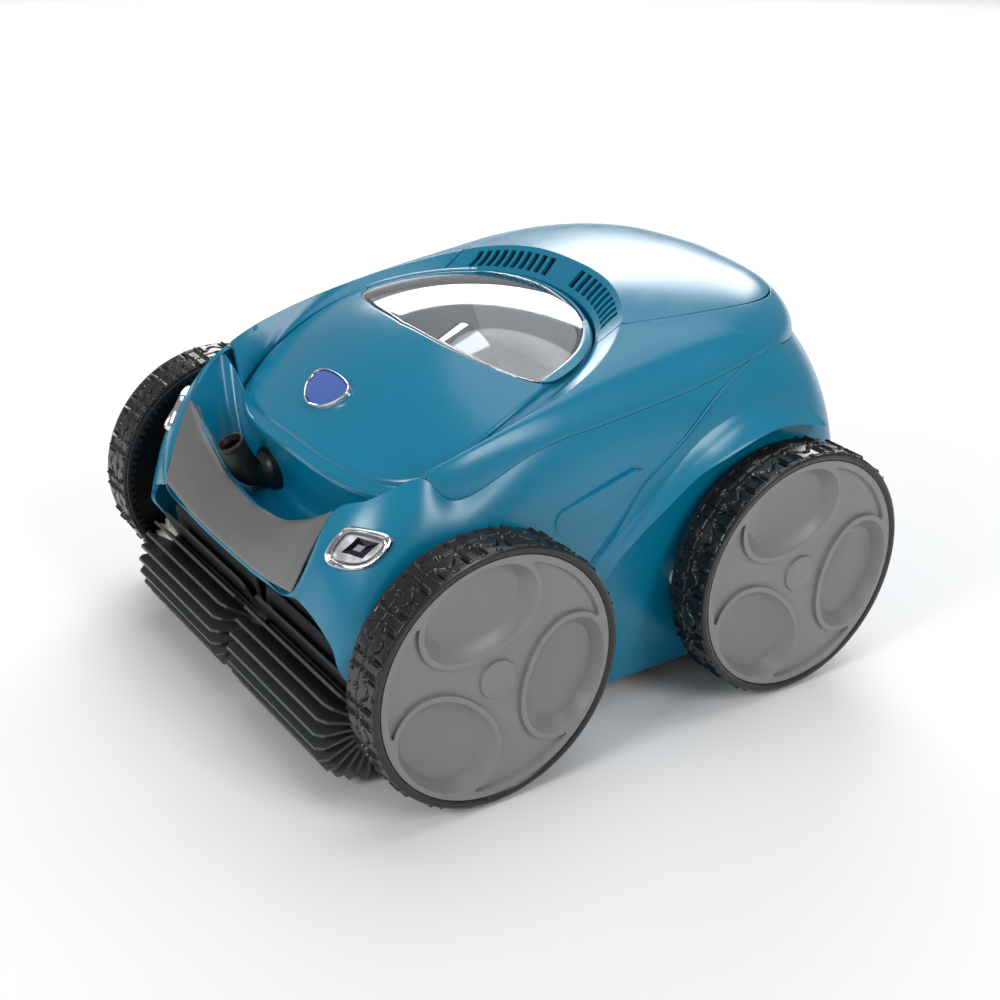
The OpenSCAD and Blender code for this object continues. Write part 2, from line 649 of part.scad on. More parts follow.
// Grey wheel disc with three stepped oval pockets and a centre button
module disc(end) {
    t = 9;
    at_wheel(end) translate([wheel_w - 10.5, 0, 0]) color(grey) difference() {
        union() {
            bar_x(disc_d / 2, t);
            translate([t - 1, 0, 0]) bar_x(16, 2.5);
        }
        translate([-1, 0, 0]) bar_x(13, 6);
        for (i = [0:2]) rotate([i * 120 + 30, 0, 0]) translate([t - 1.6, 0, 47]) {
            oval(30, 22, 4);
            translate([-2, 0, 0]) oval(26, 18, 4);
        }
        for (i = [0:2]) rotate([i * 120 + 90, 0, 0]) translate([t - 2, 0, 70]) oval(20, 5, 4);
    }
}
// Rounded slot cut, long across and short outwards
module oval(a, b, h) {
    rotate([0, 90, 0]) union() {
        for (s = [-1, 1]) translate([0, s * (a - b), 0]) cylinder(r = b, h = h);
        translate([-b, b - a, 0]) cube([2 * b, 2 * (a - b), h]);
    }
}

module tyre_front_left() { tyre(-1); }
module tyre_rear_left() { tyre(1); }
module tyre_front_right() { mirror([1, 0, 0]) tyre(-1); }
module tyre_rear_right() { mirror([1, 0, 0]) tyre(1); }
module rim_front_left() { rim(-1); }
module rim_rear_left() { rim(1); }
module rim_front_right() { mirror([1, 0, 0]) rim(-1); }
module rim_rear_right() { mirror([1, 0, 0]) rim(1); }
module disc_front_left() { disc(-1); }
module disc_rear_left() { disc(1); }
module disc_front_right() { mirror([1, 0, 0]) disc(-1); }
module disc_rear_right() { mirror([1, 0, 0]) disc(1); }

// Four fixed stub axles, each with a shoulder against the wheel hub
module stub_axles() {
    color(steel) both() for (y = [-axle_y, axle_y]) translate([frame_x - 4, y, axle_z]) {
        bar_x(axle_d / 2, wheel_in + wheel_w - 11 - (frame_x - 4));
        translate([frame_t + 4, 0, 0]) bar_x(axle_d / 2 + 3, wheel_in + 0.7 - frame_x - frame_t);
    }
}

// Screws and washers on the ends of the stub axles
module axle_screws() {
    color(steel) both() for (y = [-axle_y, axle_y]) translate([wheel_in + wheel_w - 11, y, axle_z]) {
        bar_x(11.5, 1.5);
        translate([1.5, 0, 0]) bar_x(5, 2.6);
    }
}

// ---- Drive ----
// Side plates that carry the axles and gears, with an outer arm each for the brush bearing
module side_frames() {
    rear = axle_y + 24;
    front = -brush_y - brush_r - 4;
    color(dark) both() difference() {
        union() {
            translate([frame_x, -front, belly_z + belly_t]) cube([frame_t, front + rear, 104]);
            translate([frame_x, -front, brush_z - 14]) cube([arm_x + arm_t - frame_x, 8, 26]);
            translate([arm_x, brush_y, brush_z - 14]) cube([arm_t, -front - brush_y + 8, 26]);
            translate([arm_x, brush_y, brush_z]) bar_x(13, arm_t);
        }
        translate([arm_x - 1, brush_y, brush_z]) bar_x(8 + run_gap, 20);
        for (y = [-axle_y, axle_y]) translate([frame_x - 1, y, axle_z]) bar_x(axle_d / 2, 20);
        for (y = [-pinion_y, 0, pinion_y]) translate([frame_x - 1, y, axle_z])
            bar_x(pinion_shaft_r + run_gap, 20);
    }
}

// Idler between the two pinions of one side
module idler_gear() {
    color("#d8d4c8") translate([idler_x, 0, axle_z]) difference() {
        union() {
            rotate([90, 0, 90]) rotate([0, 0, 180 / idler_n]) spur(idler_n, gear_w);
            translate([-frame_t - 4, 0, 0]) bar_x(pinion_shaft_r, frame_t + 5);
        }
        for (i = [0:5]) rotate([i * 60, 0, 0]) translate([-1, 0, idler_n * gear_m * 0.31]) bar_x(7, gear_w + 2);
    }
}
module idler_gear_left() { idler_gear(); }
module idler_gear_right() { mirror([1, 0, 0]) idler_gear(); }

// Pinion with one gear for the idler and one for the wheel ring
module pinion(end) {
    tail = end > 0 ? 16 : 4;
    color("#d8d4c8") translate([idler_x, end * pinion_y, axle_z]) {
        rotate([90, 0, 90]) spur(pinion_n, gear_w);
        translate([gear_w, 0, 0]) bar_x(pinion_r - 3, mesh_x - idler_x - gear_w);
        translate([mesh_x - idler_x, 0, 0]) rotate([90, 0, 90]) spur(pinion_n, gear_w);
        translate([-frame_t - tail, 0, 0]) bar_x(pinion_shaft_r, frame_t + tail + 1);
    }
}
module pinion_front_left() { pinion(-1); }
module pinion_rear_left() { pinion(1); }
module pinion_front_right() { mirror([1, 0, 0]) pinion(-1); }
module pinion_rear_right() { mirror([1, 0, 0]) pinion(1); }

// ---- Brushes ----
// Turn of a brush gear so that it meets the teeth of the wheel ring
ring_step = 360 / ring_n;
brush_phase = let (near = round(brush_dir / ring_step) * ring_step)
    brush_dir + (near - brush_dir) * ring_n / pinion_n;

// Gear and sleeve at the outer end of a brush
module brush_gear() {
    start = brush_end;
    color("#d8d4c8") translate([start, brush_y, brush_z]) difference() {
        union() {
            bar_x(8, mesh_x - start);
            translate([mesh_x - start, 0, 0]) rotate([90, 0, 90]) rotate([0, 0, brush_phase]) spur(pinion_n, gear_w);
        }
        translate([-1, 0, 0]) bar_x(spindle_r + run_gap, mesh_x - start + gear_w - 1);
    }
}
module brush_gear_left() { brush_gear(); }
module brush_gear_right() { mirror([1, 0, 0]) brush_gear(); }

// Roller with thin rubber blades, chamfered at both ends
module brush_roller() {
    chamfer = 5;
    color("#2b2e30") translate([brush_gap, brush_y, brush_z]) difference() {
        union() {
            bar_x(drum_r, brush_l);
            intersection() {
                rotate([90, 0, 90]) linear_extrude(brush_l) for (i = [0:blade_n - 1])
                    rotate([0, 0, i * 360 / blade_n]) translate([drum_r - 2, -blade_t / 2]) square([brush_r - drum_r + 2, blade_t]);
                rotate([0, 90, 0]) rotate_extrude() polygon([[0, 0], [brush_r - chamfer, 0], [brush_r, chamfer],
                    [brush_r, brush_l - chamfer], [brush_r - chamfer, brush_l], [0, brush_l]]);
            }
        }
        translate([-1, 0, 0]) bar_x(spindle_r + run_gap, brush_l + 2);
    }
}
module brush_roller_left() { brush_roller(); }
module brush_roller_right() { mirror([1, 0, 0]) brush_roller(); }

// Middle bearing of the brushes and its arm
module brush_support() {
    w = brush_gap - 2;
    color(dark) difference() {
        union() {
            translate([-w, brush_y, brush_z]) bar_x(drum_r + 3, 2 * w);
            translate([-w, brush_y, brush_z - 9]) cube([2 * w, -140 - brush_y, 18]);
        }
        translate([-w - 1, brush_y, brush_z]) bar_x(spindle_r, 2 * w + 2);
    }
}

// Fixed steel spindle through both brushes
module brush_spindle() {
    l = arm_x + arm_t + 8;
    color(steel) translate([-l, brush_y, brush_z]) bar_x(spindle_r, 2 * l);
}

// ---- Motors and pump ----
box_x = 126;
box_front = bay_rear + 4;
box_rear = 168;
box_low = 60;
box_high = 132;

// Sealed housing of the motors and electronics
module motor_housing() {
    color(dark) difference() {
        union() {
            translate([-box_x, box_front, box_low]) cube([2 * box_x, box_rear - box_front, box_high - box_low]);
            translate([0, pump_y, box_high - 1]) cylinder(r = pump_r + wall + 0.5, h = 62);
            both() translate([box_x - 1, pinion_y, axle_z]) bar_x(motor_r * 0.6, frame_x - box_x);
        }
        translate([3 - box_x, box_front + 3, box_low - 1])
            cube([2 * box_x - 6, box_rear - box_front - 6, box_high - box_low - 2]);
        translate([0, pump_y, box_low]) cylinder(r = pump_r + 0.5, h = box_high - box_low + 58);
        translate([0, pump_y, box_high]) cylinder(r = 4, h = 80);
        both() translate([box_x - 10, pinion_y, axle_z]) bar_x(pinion_shaft_r + 0.3, 60);
    }
}

// Bottom cover of the motor housing
module housing_cover() {
    color(dark) difference() {
        union() {
            translate([-box_x, box_front, box_low - 4]) cube([2 * box_x, box_rear - box_front, 4]);
            translate([3.5 - box_x, box_front + 3.5, box_low - 1])
                cube([2 * box_x - 7, box_rear - box_front - 7, 4]);
            for (x = [-80, 80], y = [box_front + 20, box_rear - 20])
                translate([x, y, belly_z + belly_t]) cylinder(r = 6, h = box_low - belly_z - belly_t - 3);
        }
    }
}

// Two traction motors, one for each side
module traction_motors() {
    color("#8a8f94") both() translate([box_x - 68, pinion_y, axle_z]) {
        bar_x(motor_r, 62);
        translate([60, 0, 0]) bar_x(8, 4);
        translate([-6, 0, 0]) bar_x(9, 7);
    }
}

// Upright pump motor with its shaft
module pump_motor() {
    color("#8a8f94") translate([0, pump_y, 0]) {
        translate([0, 0, box_low + 4]) cylinder(r = pump_r, h = box_high - box_low + 48);
        translate([0, 0, box_high + 40]) cylinder(r = 3, h = 68);
    }
}

// Control board with its largest components
module control_board() {
    color("#1f6b3a") translate([-48, box_front + 5, box_low + 8]) {
        cube([96, 2, 56]);
        for (x = [10, 40, 66]) translate([x, 1.5, 12]) cube([16, 7, 12]);
    }
}

// Four-bladed pump propeller
module propeller() {
    r = duct_r - tip_gap;
    z = box_high + 84;
    color("#c8ccd0") translate([0, pump_y, z]) difference() {
        union() {
            cylinder(r = 10, h = 18);
            for (i = [0:3]) rotate([0, 0, i * 90]) translate([0, 0, 9]) intersection() {
                rotate([32, 0, 0]) translate([0, -12, -1.2]) cube([r, 24, 2.4]);
                translate([0, 0, -12]) cylinder(r = r, h = 24);
            }
        }
        translate([0, 0, -1]) cylinder(r = 3, h = 25);
    }
}

// Duct that leads the pumped water to the deck slots
module outlet_duct() {
    z = box_high + 64;
    color(dark) translate([0, pump_y, 0]) difference() {
        union() {
            translate([0, 0, z]) cylinder(r = duct_r + 2.5, h = 60);
            for (i = [0:2]) rotate([0, 0, 90 + i * 120]) translate([pump_r + wall + 0.5, -2, z - 42]) cube([duct_r - pump_r - 2, 4, 50]);
        }
        translate([0, 0, z - 1]) cylinder(r = duct_r, h = 70);
    }
}

// ---- Filter ----
function super_line(a, y0, y1, n, e) = let (c = (y0 + y1) / 2, b = (y1 - y0) / 2)
    [for (i = [0:n - 1]) let (t = -90 + 360 * i / n) [a * spow(cos(t), 2 / e), c + b * spow(sin(t), 2 / e)]];
bay_n = 48;
function bay_ring(a, y0, y1, z) = [for (p = super_line(a, y0, y1, bay_n, 3)) [p[0], p[1], z]];

// Basin that the filter canister drops into
module filter_bay() {
    lip = [for (i = [0:bay_n - 1]) let (q = lid_edge_at(i, bay_n, 9)) sized([q[0], q[1], lid_z(q[0], q[1]) - 13.5])];
    g = [lip, bay_ring(bay_a, bay_front, bay_rear, 168), bay_ring(bay_a - 3, bay_front + 14, bay_rear - 2, 60),
        bay_ring(bay_a - 12, bay_front + 20, bay_rear - 8, bay_z)];
    h = [for (row = g) [for (i = [0:bay_n - 1]) row[i] + out_step(row, i, bay_n) * 2.2 - [0, 0, row == g[3] ? 2.2 : 0]]];
    mid = [0, (bay_front + bay_rear) / 2, bay_z];
    color("#55585b") difference() {
        skin(g, h, true, [mid, mid - [0, 0, 2.2]]);
        translate([-mouth_w / 2 + 4, mouth_y - mouth_l / 2 + 4, bay_z - 6]) cube([mouth_w - 8, mouth_l - 8, 12]);
        translate(gland_at() - [0, 30, 0]) rotate([-90, 0, 0]) cylinder(r = gland_r + 2, h = 40);
    }
}

can_a = bay_a - can_gap - 3;
can_front = bay_front + can_gap + 16;
can_rear = bay_rear - can_gap - 5;
can_low = bay_z + 4;
// Tub-shaped frame of the filter canister
module canister_body() {
    line = super_line(can_a - 6, can_front + 4, can_rear - 4, 48, 3);
    mid = (can_front + can_rear) / 2;
    color("#8b8d90") difference() {
        translate([0, 0, can_low]) linear_extrude(can_top - can_low) polygon(line);
        translate([0, mid, 0]) linear_extrude(300)
            polygon([for (p = line) [p[0], p[1] - mid] * 0.965]);
        for (x = [-60, 0, 60]) translate([x - 24, can_front - 20, can_low + 20]) cube([48, 200, can_top - can_low - 44]);
        for (y = [-98, -34]) translate([-200, y - 24, can_low + 20]) cube([400, 48, can_top - can_low - 44]);
    }
    color("#8b8d90") difference() {
        translate([0, mid, can_low]) linear_extrude(3) polygon([for (p = line) [p[0], p[1] - mid] * 0.98]);
        translate([-mouth_w / 2 + 8, mouth_y - mouth_l / 2 + 6, can_low - 1]) cube([mouth_w - 16, mouth_l - 12, 6]);
    }
}

// Fine mesh screen inside the canister frame
module canister_screen() {
    line = super_line(can_a - 6, can_front + 4, can_rear - 4, 48, 3);
    mid = (can_front + can_rear) / 2;
    color("#c9c7bd") translate([0, mid, can_low + 3.2]) difference() {
        linear_extrude(can_top - can_low - 4) polygon([for (p = line) [p[0], p[1] - mid] * 0.955]);
        translate([0, 0, -1]) linear_extrude(200) polygon([for (p = line) [p[0], p[1] - mid] * 0.94]);
    }
}

// Domed grey cover of the canister, seen through the window
cover_drop = 16;
module canister_cover() {
    n = 48;
    line = super_line(can_a, can_front, can_rear, n, 2.8);
    c = [0, -40];
    function row(w, d) = [for (p = line) let (q = mix(p, c, w))
        [q[0], q[1], min(lid_z(q[0] / kx, q[1] / ky) * kz - cover_drop - 12 * (1 - w) * (1 - w), 255) - d]];
    g = concat([[for (p = line) [p[0], p[1], can_top + 0.3]]], [for (w = [0, 0.12, 0.4, 0.7, 0.92]) row(w, 0)]);
    h = concat([[for (p = line) [p[0] * 0.97, c[1] + (p[1] - c[1]) * 0.97, can_top + 0.3]]],
        [for (w = [0.03, 0.14, 0.4, 0.7, 0.92]) row(w, 2.5)]);
    top = lid_z(0, c[1] / ky) * kz - cover_drop;
    color("#b5b7ba") difference() {
        skin(g, h, true, [[0, c[1], top], [0, c[1], top - 2.5]]);
        translate([0, ring_y, ring_z]) rotate([90, 0, 0]) cylinder(r = ring_r + 1, h = 60);
    }
}

// Bright flared ring of the cyclone, facing forwards
ring_y = -14 * ky;
ring_z = 196 * kz;
ring_r = 50;
module cyclone_ring() {
    color("#d0d3d6") translate([0, ring_y - 0.5, ring_z]) rotate([90, 0, 0]) difference() {
        cylinder(r1 = ring_r, r2 = ring_r - 14, h = 34);
        translate([0, 0, -1]) cylinder(r1 = ring_r - 2.2, r2 = ring_r - 16.6, h = 36);
    }
}

// Flap that keeps the debris in the canister
flap_y = mouth_y - mouth_l / 2 + 3;
module inlet_flap() {
    color("#2b2e30") translate([-mouth_w / 2 + 6, flap_y, can_low + 3.6]) {
        cube([mouth_w - 12, mouth_l - 4, 2]);
        translate([0, 0, 1]) bar_x(1.6, mouth_w - 12);
    }
}

// Foam floats in the sides of the hood
module float_blocks() {
    color("#d9d5c4") both() translate([bay_a + 6, -96, 142]) cube([24, 120, 37]);
}

body_shell();
belly_pan();
hood();
rear_deck();
front_tub();
front_handle();
light_bezels();
light_lenses();
side_caps();
lid_shell();
lid_window();
badge_bezel();
latch_button();
latch_spring();
lid_hinge_pins();
lid_gasket();
cable_gland();
cable_elbow();
tyre_front_left();
tyre_front_right();
tyre_rear_left();
tyre_rear_right();
rim_front_left();
rim_front_right();
rim_rear_left();
rim_rear_right();
disc_front_left();
disc_front_right();
disc_rear_left();
disc_rear_right();
stub_axles();
axle_screws();
side_frames();
idler_gear_left();
idler_gear_right();
pinion_front_left();
pinion_front_right();
pinion_rear_left();
pinion_rear_right();
motor_housing();
housing_cover();
traction_motors();
pump_motor();
control_board();
propeller();
outlet_duct();
filter_bay();
canister_body();
canister_screen();
canister_cover();
cyclone_ring();
inlet_flap();
brush_roller_left();
brush_roller_right();
brush_gear_left();
brush_gear_right();
brush_support();
brush_spindle();
float_blocks();
case_screws();
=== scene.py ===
import bpy, bmesh, math
from mathutils import Matrix, Vector
from mathutils.bvhtree import BVHTree


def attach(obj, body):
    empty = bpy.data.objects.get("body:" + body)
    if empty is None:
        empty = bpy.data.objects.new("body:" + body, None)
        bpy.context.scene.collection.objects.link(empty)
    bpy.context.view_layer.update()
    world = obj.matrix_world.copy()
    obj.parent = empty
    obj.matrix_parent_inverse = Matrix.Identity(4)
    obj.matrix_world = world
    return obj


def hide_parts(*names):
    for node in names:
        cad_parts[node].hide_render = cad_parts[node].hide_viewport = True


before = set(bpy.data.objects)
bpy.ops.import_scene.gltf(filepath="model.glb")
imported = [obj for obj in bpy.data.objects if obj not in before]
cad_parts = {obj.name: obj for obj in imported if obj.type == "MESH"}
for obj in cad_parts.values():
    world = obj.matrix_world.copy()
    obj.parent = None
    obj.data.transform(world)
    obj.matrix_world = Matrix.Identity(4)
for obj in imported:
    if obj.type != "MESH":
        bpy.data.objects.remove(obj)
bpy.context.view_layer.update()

# ---------------------------------------------------------------------------
# Studio: a camera beside the front left corner, a pale floor and soft light.
# ---------------------------------------------------------------------------
azimuth, elevation, roll = (math.radians(a) for a in (56.03, 25.81, 0.546))
back = Vector((math.sin(azimuth) * math.cos(elevation), -math.cos(azimuth) * math.cos(elevation),
               math.sin(elevation)))
level = Vector((math.cos(azimuth), math.sin(azimuth), 0))
upright = back.cross(level)
right = level * math.cos(roll) + upright * math.sin(roll)
up = upright * math.cos(roll) - level * math.sin(roll)
camera = bpy.data.objects.new("camera", bpy.data.cameras.new("camera"))
camera.matrix_world = Matrix((right, up, back)).transposed().to_4x4()
camera.location = (0.9451, -0.6240, 0.6499)
camera.data.sensor_width = 36
camera.data.lens = 58.66
camera.data.clip_end = 50
bpy.context.scene.collection.objects.link(camera)
bpy.context.scene.camera = camera


def linear(hex_colour):
    """sRGB hex as the linear RGBA that shaders take."""
    parts = [int(hex_colour[i:i + 2], 16) / 255 for i in (0, 2, 4)]
    return [c / 12.92 if c <= 0.04045 else ((c + 0.055) / 1.055) ** 2.4 for c in parts] + [1]


def add(material, kind, links=None, **settings):
    """Adds a node: settings are its input values or properties, links join outputs to inputs."""
    node = material.node_tree.nodes.new(kind)
    for key, value in settings.items():
        if key in node.inputs:
            node.inputs[key].default_value = value
        else:
            setattr(node, key, value)
    for key, output in (links or {}).items():
        material.node_tree.links.new(output, node.inputs[key])
    return node


def new_material(name):
    material = bpy.data.materials.new(name)
    material.use_nodes = True
    material.node_tree.nodes.clear()
    return material


def softbox(name, place, aim, width, height, power):
    """A large rectangular light that faces a point."""
    light = bpy.data.lights.new(name, "AREA")
    light.shape = "RECTANGLE"
    light.size, light.size_y, light.energy = width, height, power
    lamp = bpy.data.objects.new(name, light)
    lamp.location = place
    lamp.rotation_euler = (Vector(aim) - Vector(place)).to_track_quat("-Z", "Y").to_euler()
    bpy.context.scene.collection.objects.link(lamp)


softbox("behind", (-2.25, 1.65, 1.45), (0, 0.1, 0.2), 2.6, 1.0, 62)
softbox("left_side", (2.6, 0.5, 1.9), (0, 0, 0.1), 0.7, 1.6, 30)
softbox("front", (0.6, -2.9, 1.9), (0, 0, 0.1), 1.0, 1.0, 40)
sky = bpy.data.objects.new("sky", bpy.data.lights.new("sky", "SUN"))
sky.data.energy, sky.data.angle = 0.9, math.radians(50)
sky.rotation_euler = (math.radians(-14), math.radians(-12), 0)
bpy.context.scene.collection.objects.link(sky)

floor_mesh = bmesh.new()
bmesh.ops.create_grid(floor_mesh, x_segments=1, y_segments=1, size=12)
floor_data = bpy.data.meshes.new("floor")
floor_mesh.to_mesh(floor_data)
floor = bpy.data.objects.new("floor", floor_data)
bpy.context.scene.collection.objects.link(floor)
paper = new_material("studio_paper")
paper_shader = add(paper, "ShaderNodeBsdfPrincipled", Roughness=0.9, **{"Base Color": linear("f2f2f2")})
add(paper, "ShaderNodeOutputMaterial", {"Surface": paper_shader.outputs[0]})
floor.data.materials.append(paper)

world = bpy.data.worlds.new("studio")
world.use_nodes = True
world.node_tree.nodes["Background"].inputs["Color"].default_value = linear("f4f5f6")
world.node_tree.nodes["Background"].inputs["Strength"].default_value = 0.38
bpy.context.scene.world = world
bpy.context.scene.view_settings.view_transform = "Standard"

# ---------------------------------------------------------------------------
# Body shell: one glossy teal ABS moulding for the nose, the sides and the tail.
# Its walls are 3 mm thick; the front arches over the brushes.
# ---------------------------------------------------------------------------
shell_low = [(0, -214, 116), (55, -215, 119), (100, -215, 127), (120, -213, 122), (142, -212, 111),
             (154, -208, 90), (160, -168, 48), (158, -70, 16), (154, 0, 16), (154, 70, 16), (154, 140, 18),
             (152, 200, 40), (86, 221, 42), (0, 224, 42)]
shell_mid = [(0, -217, 119), (55, -218, 122), (102, -218, 130.5), (119, -208, 156), (142, -198, 156),
             (161, -178, 152), (169, -130, 142), (170, -62, 138), (168, 0, 140), (170, 70, 150),
             (173, 140, 165), (164, 198, 160), (98, 226, 165), (0, 229.3, 165)]
shell_top = [(0, -216, 122), (55, -217, 125), (101, -218, 134), (110, -192, 187), (130, -173, 201),
             (142, -144, 213), (154, -122, 197), (157, -60, 219), (158, 0, 226), (157, 70, 234),
             (152, 134, 245), (127, 184, 240), (76, 217, 233), (0, 227, 230)]
wall = 3
seam_gap = 0.8


def along(points, u):
    """Point at u, from 0 to 1, on a smooth curve through the points."""
    s = min(max(u, 0) * (len(points) - 1), len(points) - 1.0001)
    i = int(s)
    t = s - i
    a, b, c, d = (Vector(points[min(max(k, 0), len(points) - 1)]) for k in (i - 1, i, i + 1, i + 2))
    return 0.5 * (2 * b + (c - a) * t + (2 * a - 5 * b + 4 * c - d) * t ** 2
                  + (3 * b - a - 3 * c + d) * t ** 3)


def shell_point(u, w):
    low, mid, top = along(shell_low, u), along(shell_mid, u), along(shell_top, u)
    top = top - Vector((0, 0, seam_gap / 2))
    return low * (1 - w) * (1 - 2 * w) + mid * 4 * w * (1 - w) + top * w * (2 * w - 1)


def grid(across, upward, place):
    """A mesh that starts as a flat grid; place(u, w) says where each of its points goes."""
    bm = bmesh.new()
    bmesh.ops.create_grid(bm, x_segments=across, y_segments=upward, size=0.5)
    for v in bm.verts:
        v.co = place(v.co.x + 0.5, v.co.y + 0.5)
    return bm


def mirrored(bm):
    """Adds the right half of a piece whose left half is drawn, and joins the two."""
    bmesh.ops.mirror(bm, geom=bm.verts[:] + bm.edges[:] + bm.faces[:], axis="X", merge_dist=0.02)
    bmesh.ops.remove_doubles(bm, verts=bm.verts, dist=0.02)
    return bm


def face_out(bm, centre):
    """Turns the faces outwards: the ones far from the centre look away from it."""
    bmesh.ops.recalc_face_normals(bm, faces=bm.faces)
    centre = Vector(centre)
    if sum(f.calc_area() * f.normal.dot(f.calc_center_median() - centre) for f in bm.faces) < 0:
        bmesh.ops.reverse_faces(bm, faces=bm.faces)
    return bm


def piece(bm, name, body, material, stands_for=(), thick=0, soften=0, smooth=2, crease=35, rounds=0):
    """Makes an object of a mesh drawn in millimetres and hands it to its body."""
    bmesh.ops.scale(bm, vec=(0.001, 0.001, 0.001), verts=bm.verts)
    bmesh.ops.dissolve_degenerate(bm, dist=2e-6, edges=bm.edges)
    for face in bm.faces:
        face.smooth = True
    for edge in bm.edges:
        edge.smooth = len(edge.link_faces) != 2 or edge.calc_face_angle(0) < math.radians(crease)
    data = bpy.data.meshes.new(name)
    bm.to_mesh(data)
    bm.free()
    made = bpy.data.objects.new(name, data)
    bpy.context.scene.collection.objects.link(made)
    data.materials.append(material)
    if thick:
        solid = made.modifiers.new("wall", "SOLIDIFY")
        solid.thickness, solid.offset = thick / 1000, -1
    if soften:
        bevel = made.modifiers.new("soft_edges", "BEVEL")
        bevel.width, bevel.segments, bevel.limit_method = soften / 1000, smooth, "ANGLE"
        bevel.angle_limit = math.radians(40)
        bevel.harden_normals = True
    if rounds:
        round_off = made.modifiers.new("rounding", "SUBSURF")
        round_off.levels = round_off.render_levels = rounds
    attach(made, body)
    if stands_for:
        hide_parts(*stands_for)
    return made


def moulded_plastic(name, colour, rough, grain_mm, grain_depth, ior=1.53, coat=0.0):
    """Injection-moulded thermoplastic: even colour, faint flow marks, the mould's own fine texture."""
    material = new_material(name)
    place = add(material, "ShaderNodeTexCoord").outputs["Object"]
    flow = add(material, "ShaderNodeTexNoise", {"Vector": place}, Scale=14, Detail=3, Roughness=0.5)
    shade = add(material, "ShaderNodeMix", {"Factor": flow.outputs["Fac"]}, data_type="RGBA")
    base = linear(colour)
    shade.inputs[6].default_value = [c * 0.93 for c in base[:3]] + [1]
    shade.inputs[7].default_value = [min(1, c * 1.07) for c in base[:3]] + [1]
    wear = add(material, "ShaderNodeTexNoise", {"Vector": place}, Scale=90, Detail=4, Roughness=0.6)
    gloss = add(material, "ShaderNodeMapRange", {"Value": wear.outputs["Fac"]},
                **{"From Min": 0.3, "From Max": 0.7, "To Min": rough * 0.88, "To Max": rough * 1.14})
    grain = add(material, "ShaderNodeTexNoise", {"Vector": place}, Scale=1000 / grain_mm, Detail=2)
    bump = add(material, "ShaderNodeBump", {"Height": grain.outputs["Fac"]}, Strength=0.5,
               Distance=grain_depth / 1000)
    shader = add(material, "ShaderNodeBsdfPrincipled",
                 {"Base Color": shade.outputs[2], "Roughness": gloss.outputs[0], "Normal": bump.outputs[0]},
                 IOR=ior, **{"Coat Weight": coat, "Coat Roughness": 0.08})
    add(material, "ShaderNodeOutputMaterial", {"Surface": shader.outputs[0]})
    return material


# Polished tool steel leaves ABS glossy, with a very slight orange peel about 4 mm wide
teal_abs = moulded_plastic("teal_gloss_abs", "007799", 0.24, 4.0, 0.002)

shell = mirrored(grid(260, 44, shell_point))
face_out(shell, (0, 0, 120))
shell_skin = BVHTree.FromBMesh(shell)
piece(shell, "shell", "chassis", teal_abs, ("body_shell",), thick=wall, soften=0.7)


def shell_side(y, z):
    """How far the side of the shell stands out at a height z, at y."""
    best = None
    for i in range(60):
        for j in range(25):
            p = shell_point(0.44 + 0.4 * i / 59, j / 24)
            d = (p.y - y) ** 2 + (p.z - z) ** 2
            if best is None or d < best[0]:
                best = (d, p.x)
    return best[1]


# Rear fenders: each sweeps back from the lower side, over the wheel, to a rear corner.
# They are part of the same moulding, with a raised crease above and a flared lip below.
fender_ridge = [(-44, 108), (-33, 123), (-4, 153), (20, 180), (54, 204), (76, 221), (99, 235), (124, 244),
                (155, 245)]
fender_lip = [(168, -34, 78), (169.5, -16, 106), (171, 0, 128), (173.5, 30, 153), (178, 57, 176), (182, 82, 188),
              (184, 108, 197), (184, 134, 199.5), (182, 173, 190)]
ridge_out = [Vector((shell_side(y, z) + 0.9, y, z)) for y, z in fender_ridge]


def fender_point(u, w):
    ridge, lip = along(ridge_out, u), along(fender_lip, u)
    if w < 0.85:
        v = w / 0.85
        at = ridge.lerp(lip, v)
        at.x = ridge.x + (lip.x - ridge.x) * v ** 2.2 - 2.2 * math.sin(math.pi * min(1, v * 1.4)) * u ** 0.5
        return at
    fold = (w - 0.85) / 0.15
    return Vector((lip.x - 16 * fold * u ** 0.5 - 0.5, lip.y, lip.z - 1.2 * math.sin(math.pi * min(1, fold * 2) / 2)))


fender = mirrored(grid(110, 40, fender_point))
face_out(fender, (0, 0, 100))
piece(fender, "fenders", "chassis", teal_abs, ("body_shell",), thick=1.2, crease=60)

# ---------------------------------------------------------------------------
# Hood: the teal upper moulding. It rings the lid and rolls down to the side seam;
# a crisp rim stands between its outside and the slope that runs in to the lid.
# ---------------------------------------------------------------------------
front_angle, split = -16.8, 0.626


def rim_xy(half, front, rear, middle, power, angle):
    c, s = math.cos(math.radians(angle)), math.sin(math.radians(angle))
    return (half * math.copysign(abs(c) ** (2 / power), c),
            middle + (rear if s > 0 else front) * math.copysign(abs(s) ** (2 / power), s))


def rim_out(angle):
    x, y = rim_xy(145.7, 135.8, 170.6, -94.2, 2.52, angle)
    u = y / 100
    return Vector((x, y, 254 + 27.5 * u + 7.9 * u ** 2 + 5.5 * u ** 3))


lid_ridge = (-3.28, -4.08, 5.27, -22.96, -1.56, 273.45)


def lid_height(x, y):
    """The lid's ridge as one smooth curve, less its fall towards the sides."""
    z, u = 0, min(max(y, -172), 62) / 100
    for factor in lid_ridge:
        z = z * u + factor
    return z - 0.0018 * x * x


# the lid's outline is a rounded oval, longer behind its widest line than in front of it
lid_half, lid_fore, lid_aft, lid_mid, lid_power = 135.6, 73, 155.6, -98.2, 2.39


def lid_line(angle, inset):
    x, y = rim_xy(lid_half - inset, lid_fore - inset, lid_aft - inset, lid_mid, lid_power, angle)
    return Vector((x, y, lid_height(x, y)))


def ease(t):
    t = min(max(t, 0), 1)
    return t * t * (3 - 2 * t)


def seam_point(s):
    return along(shell_top, (5 + 8 * s) / 13)


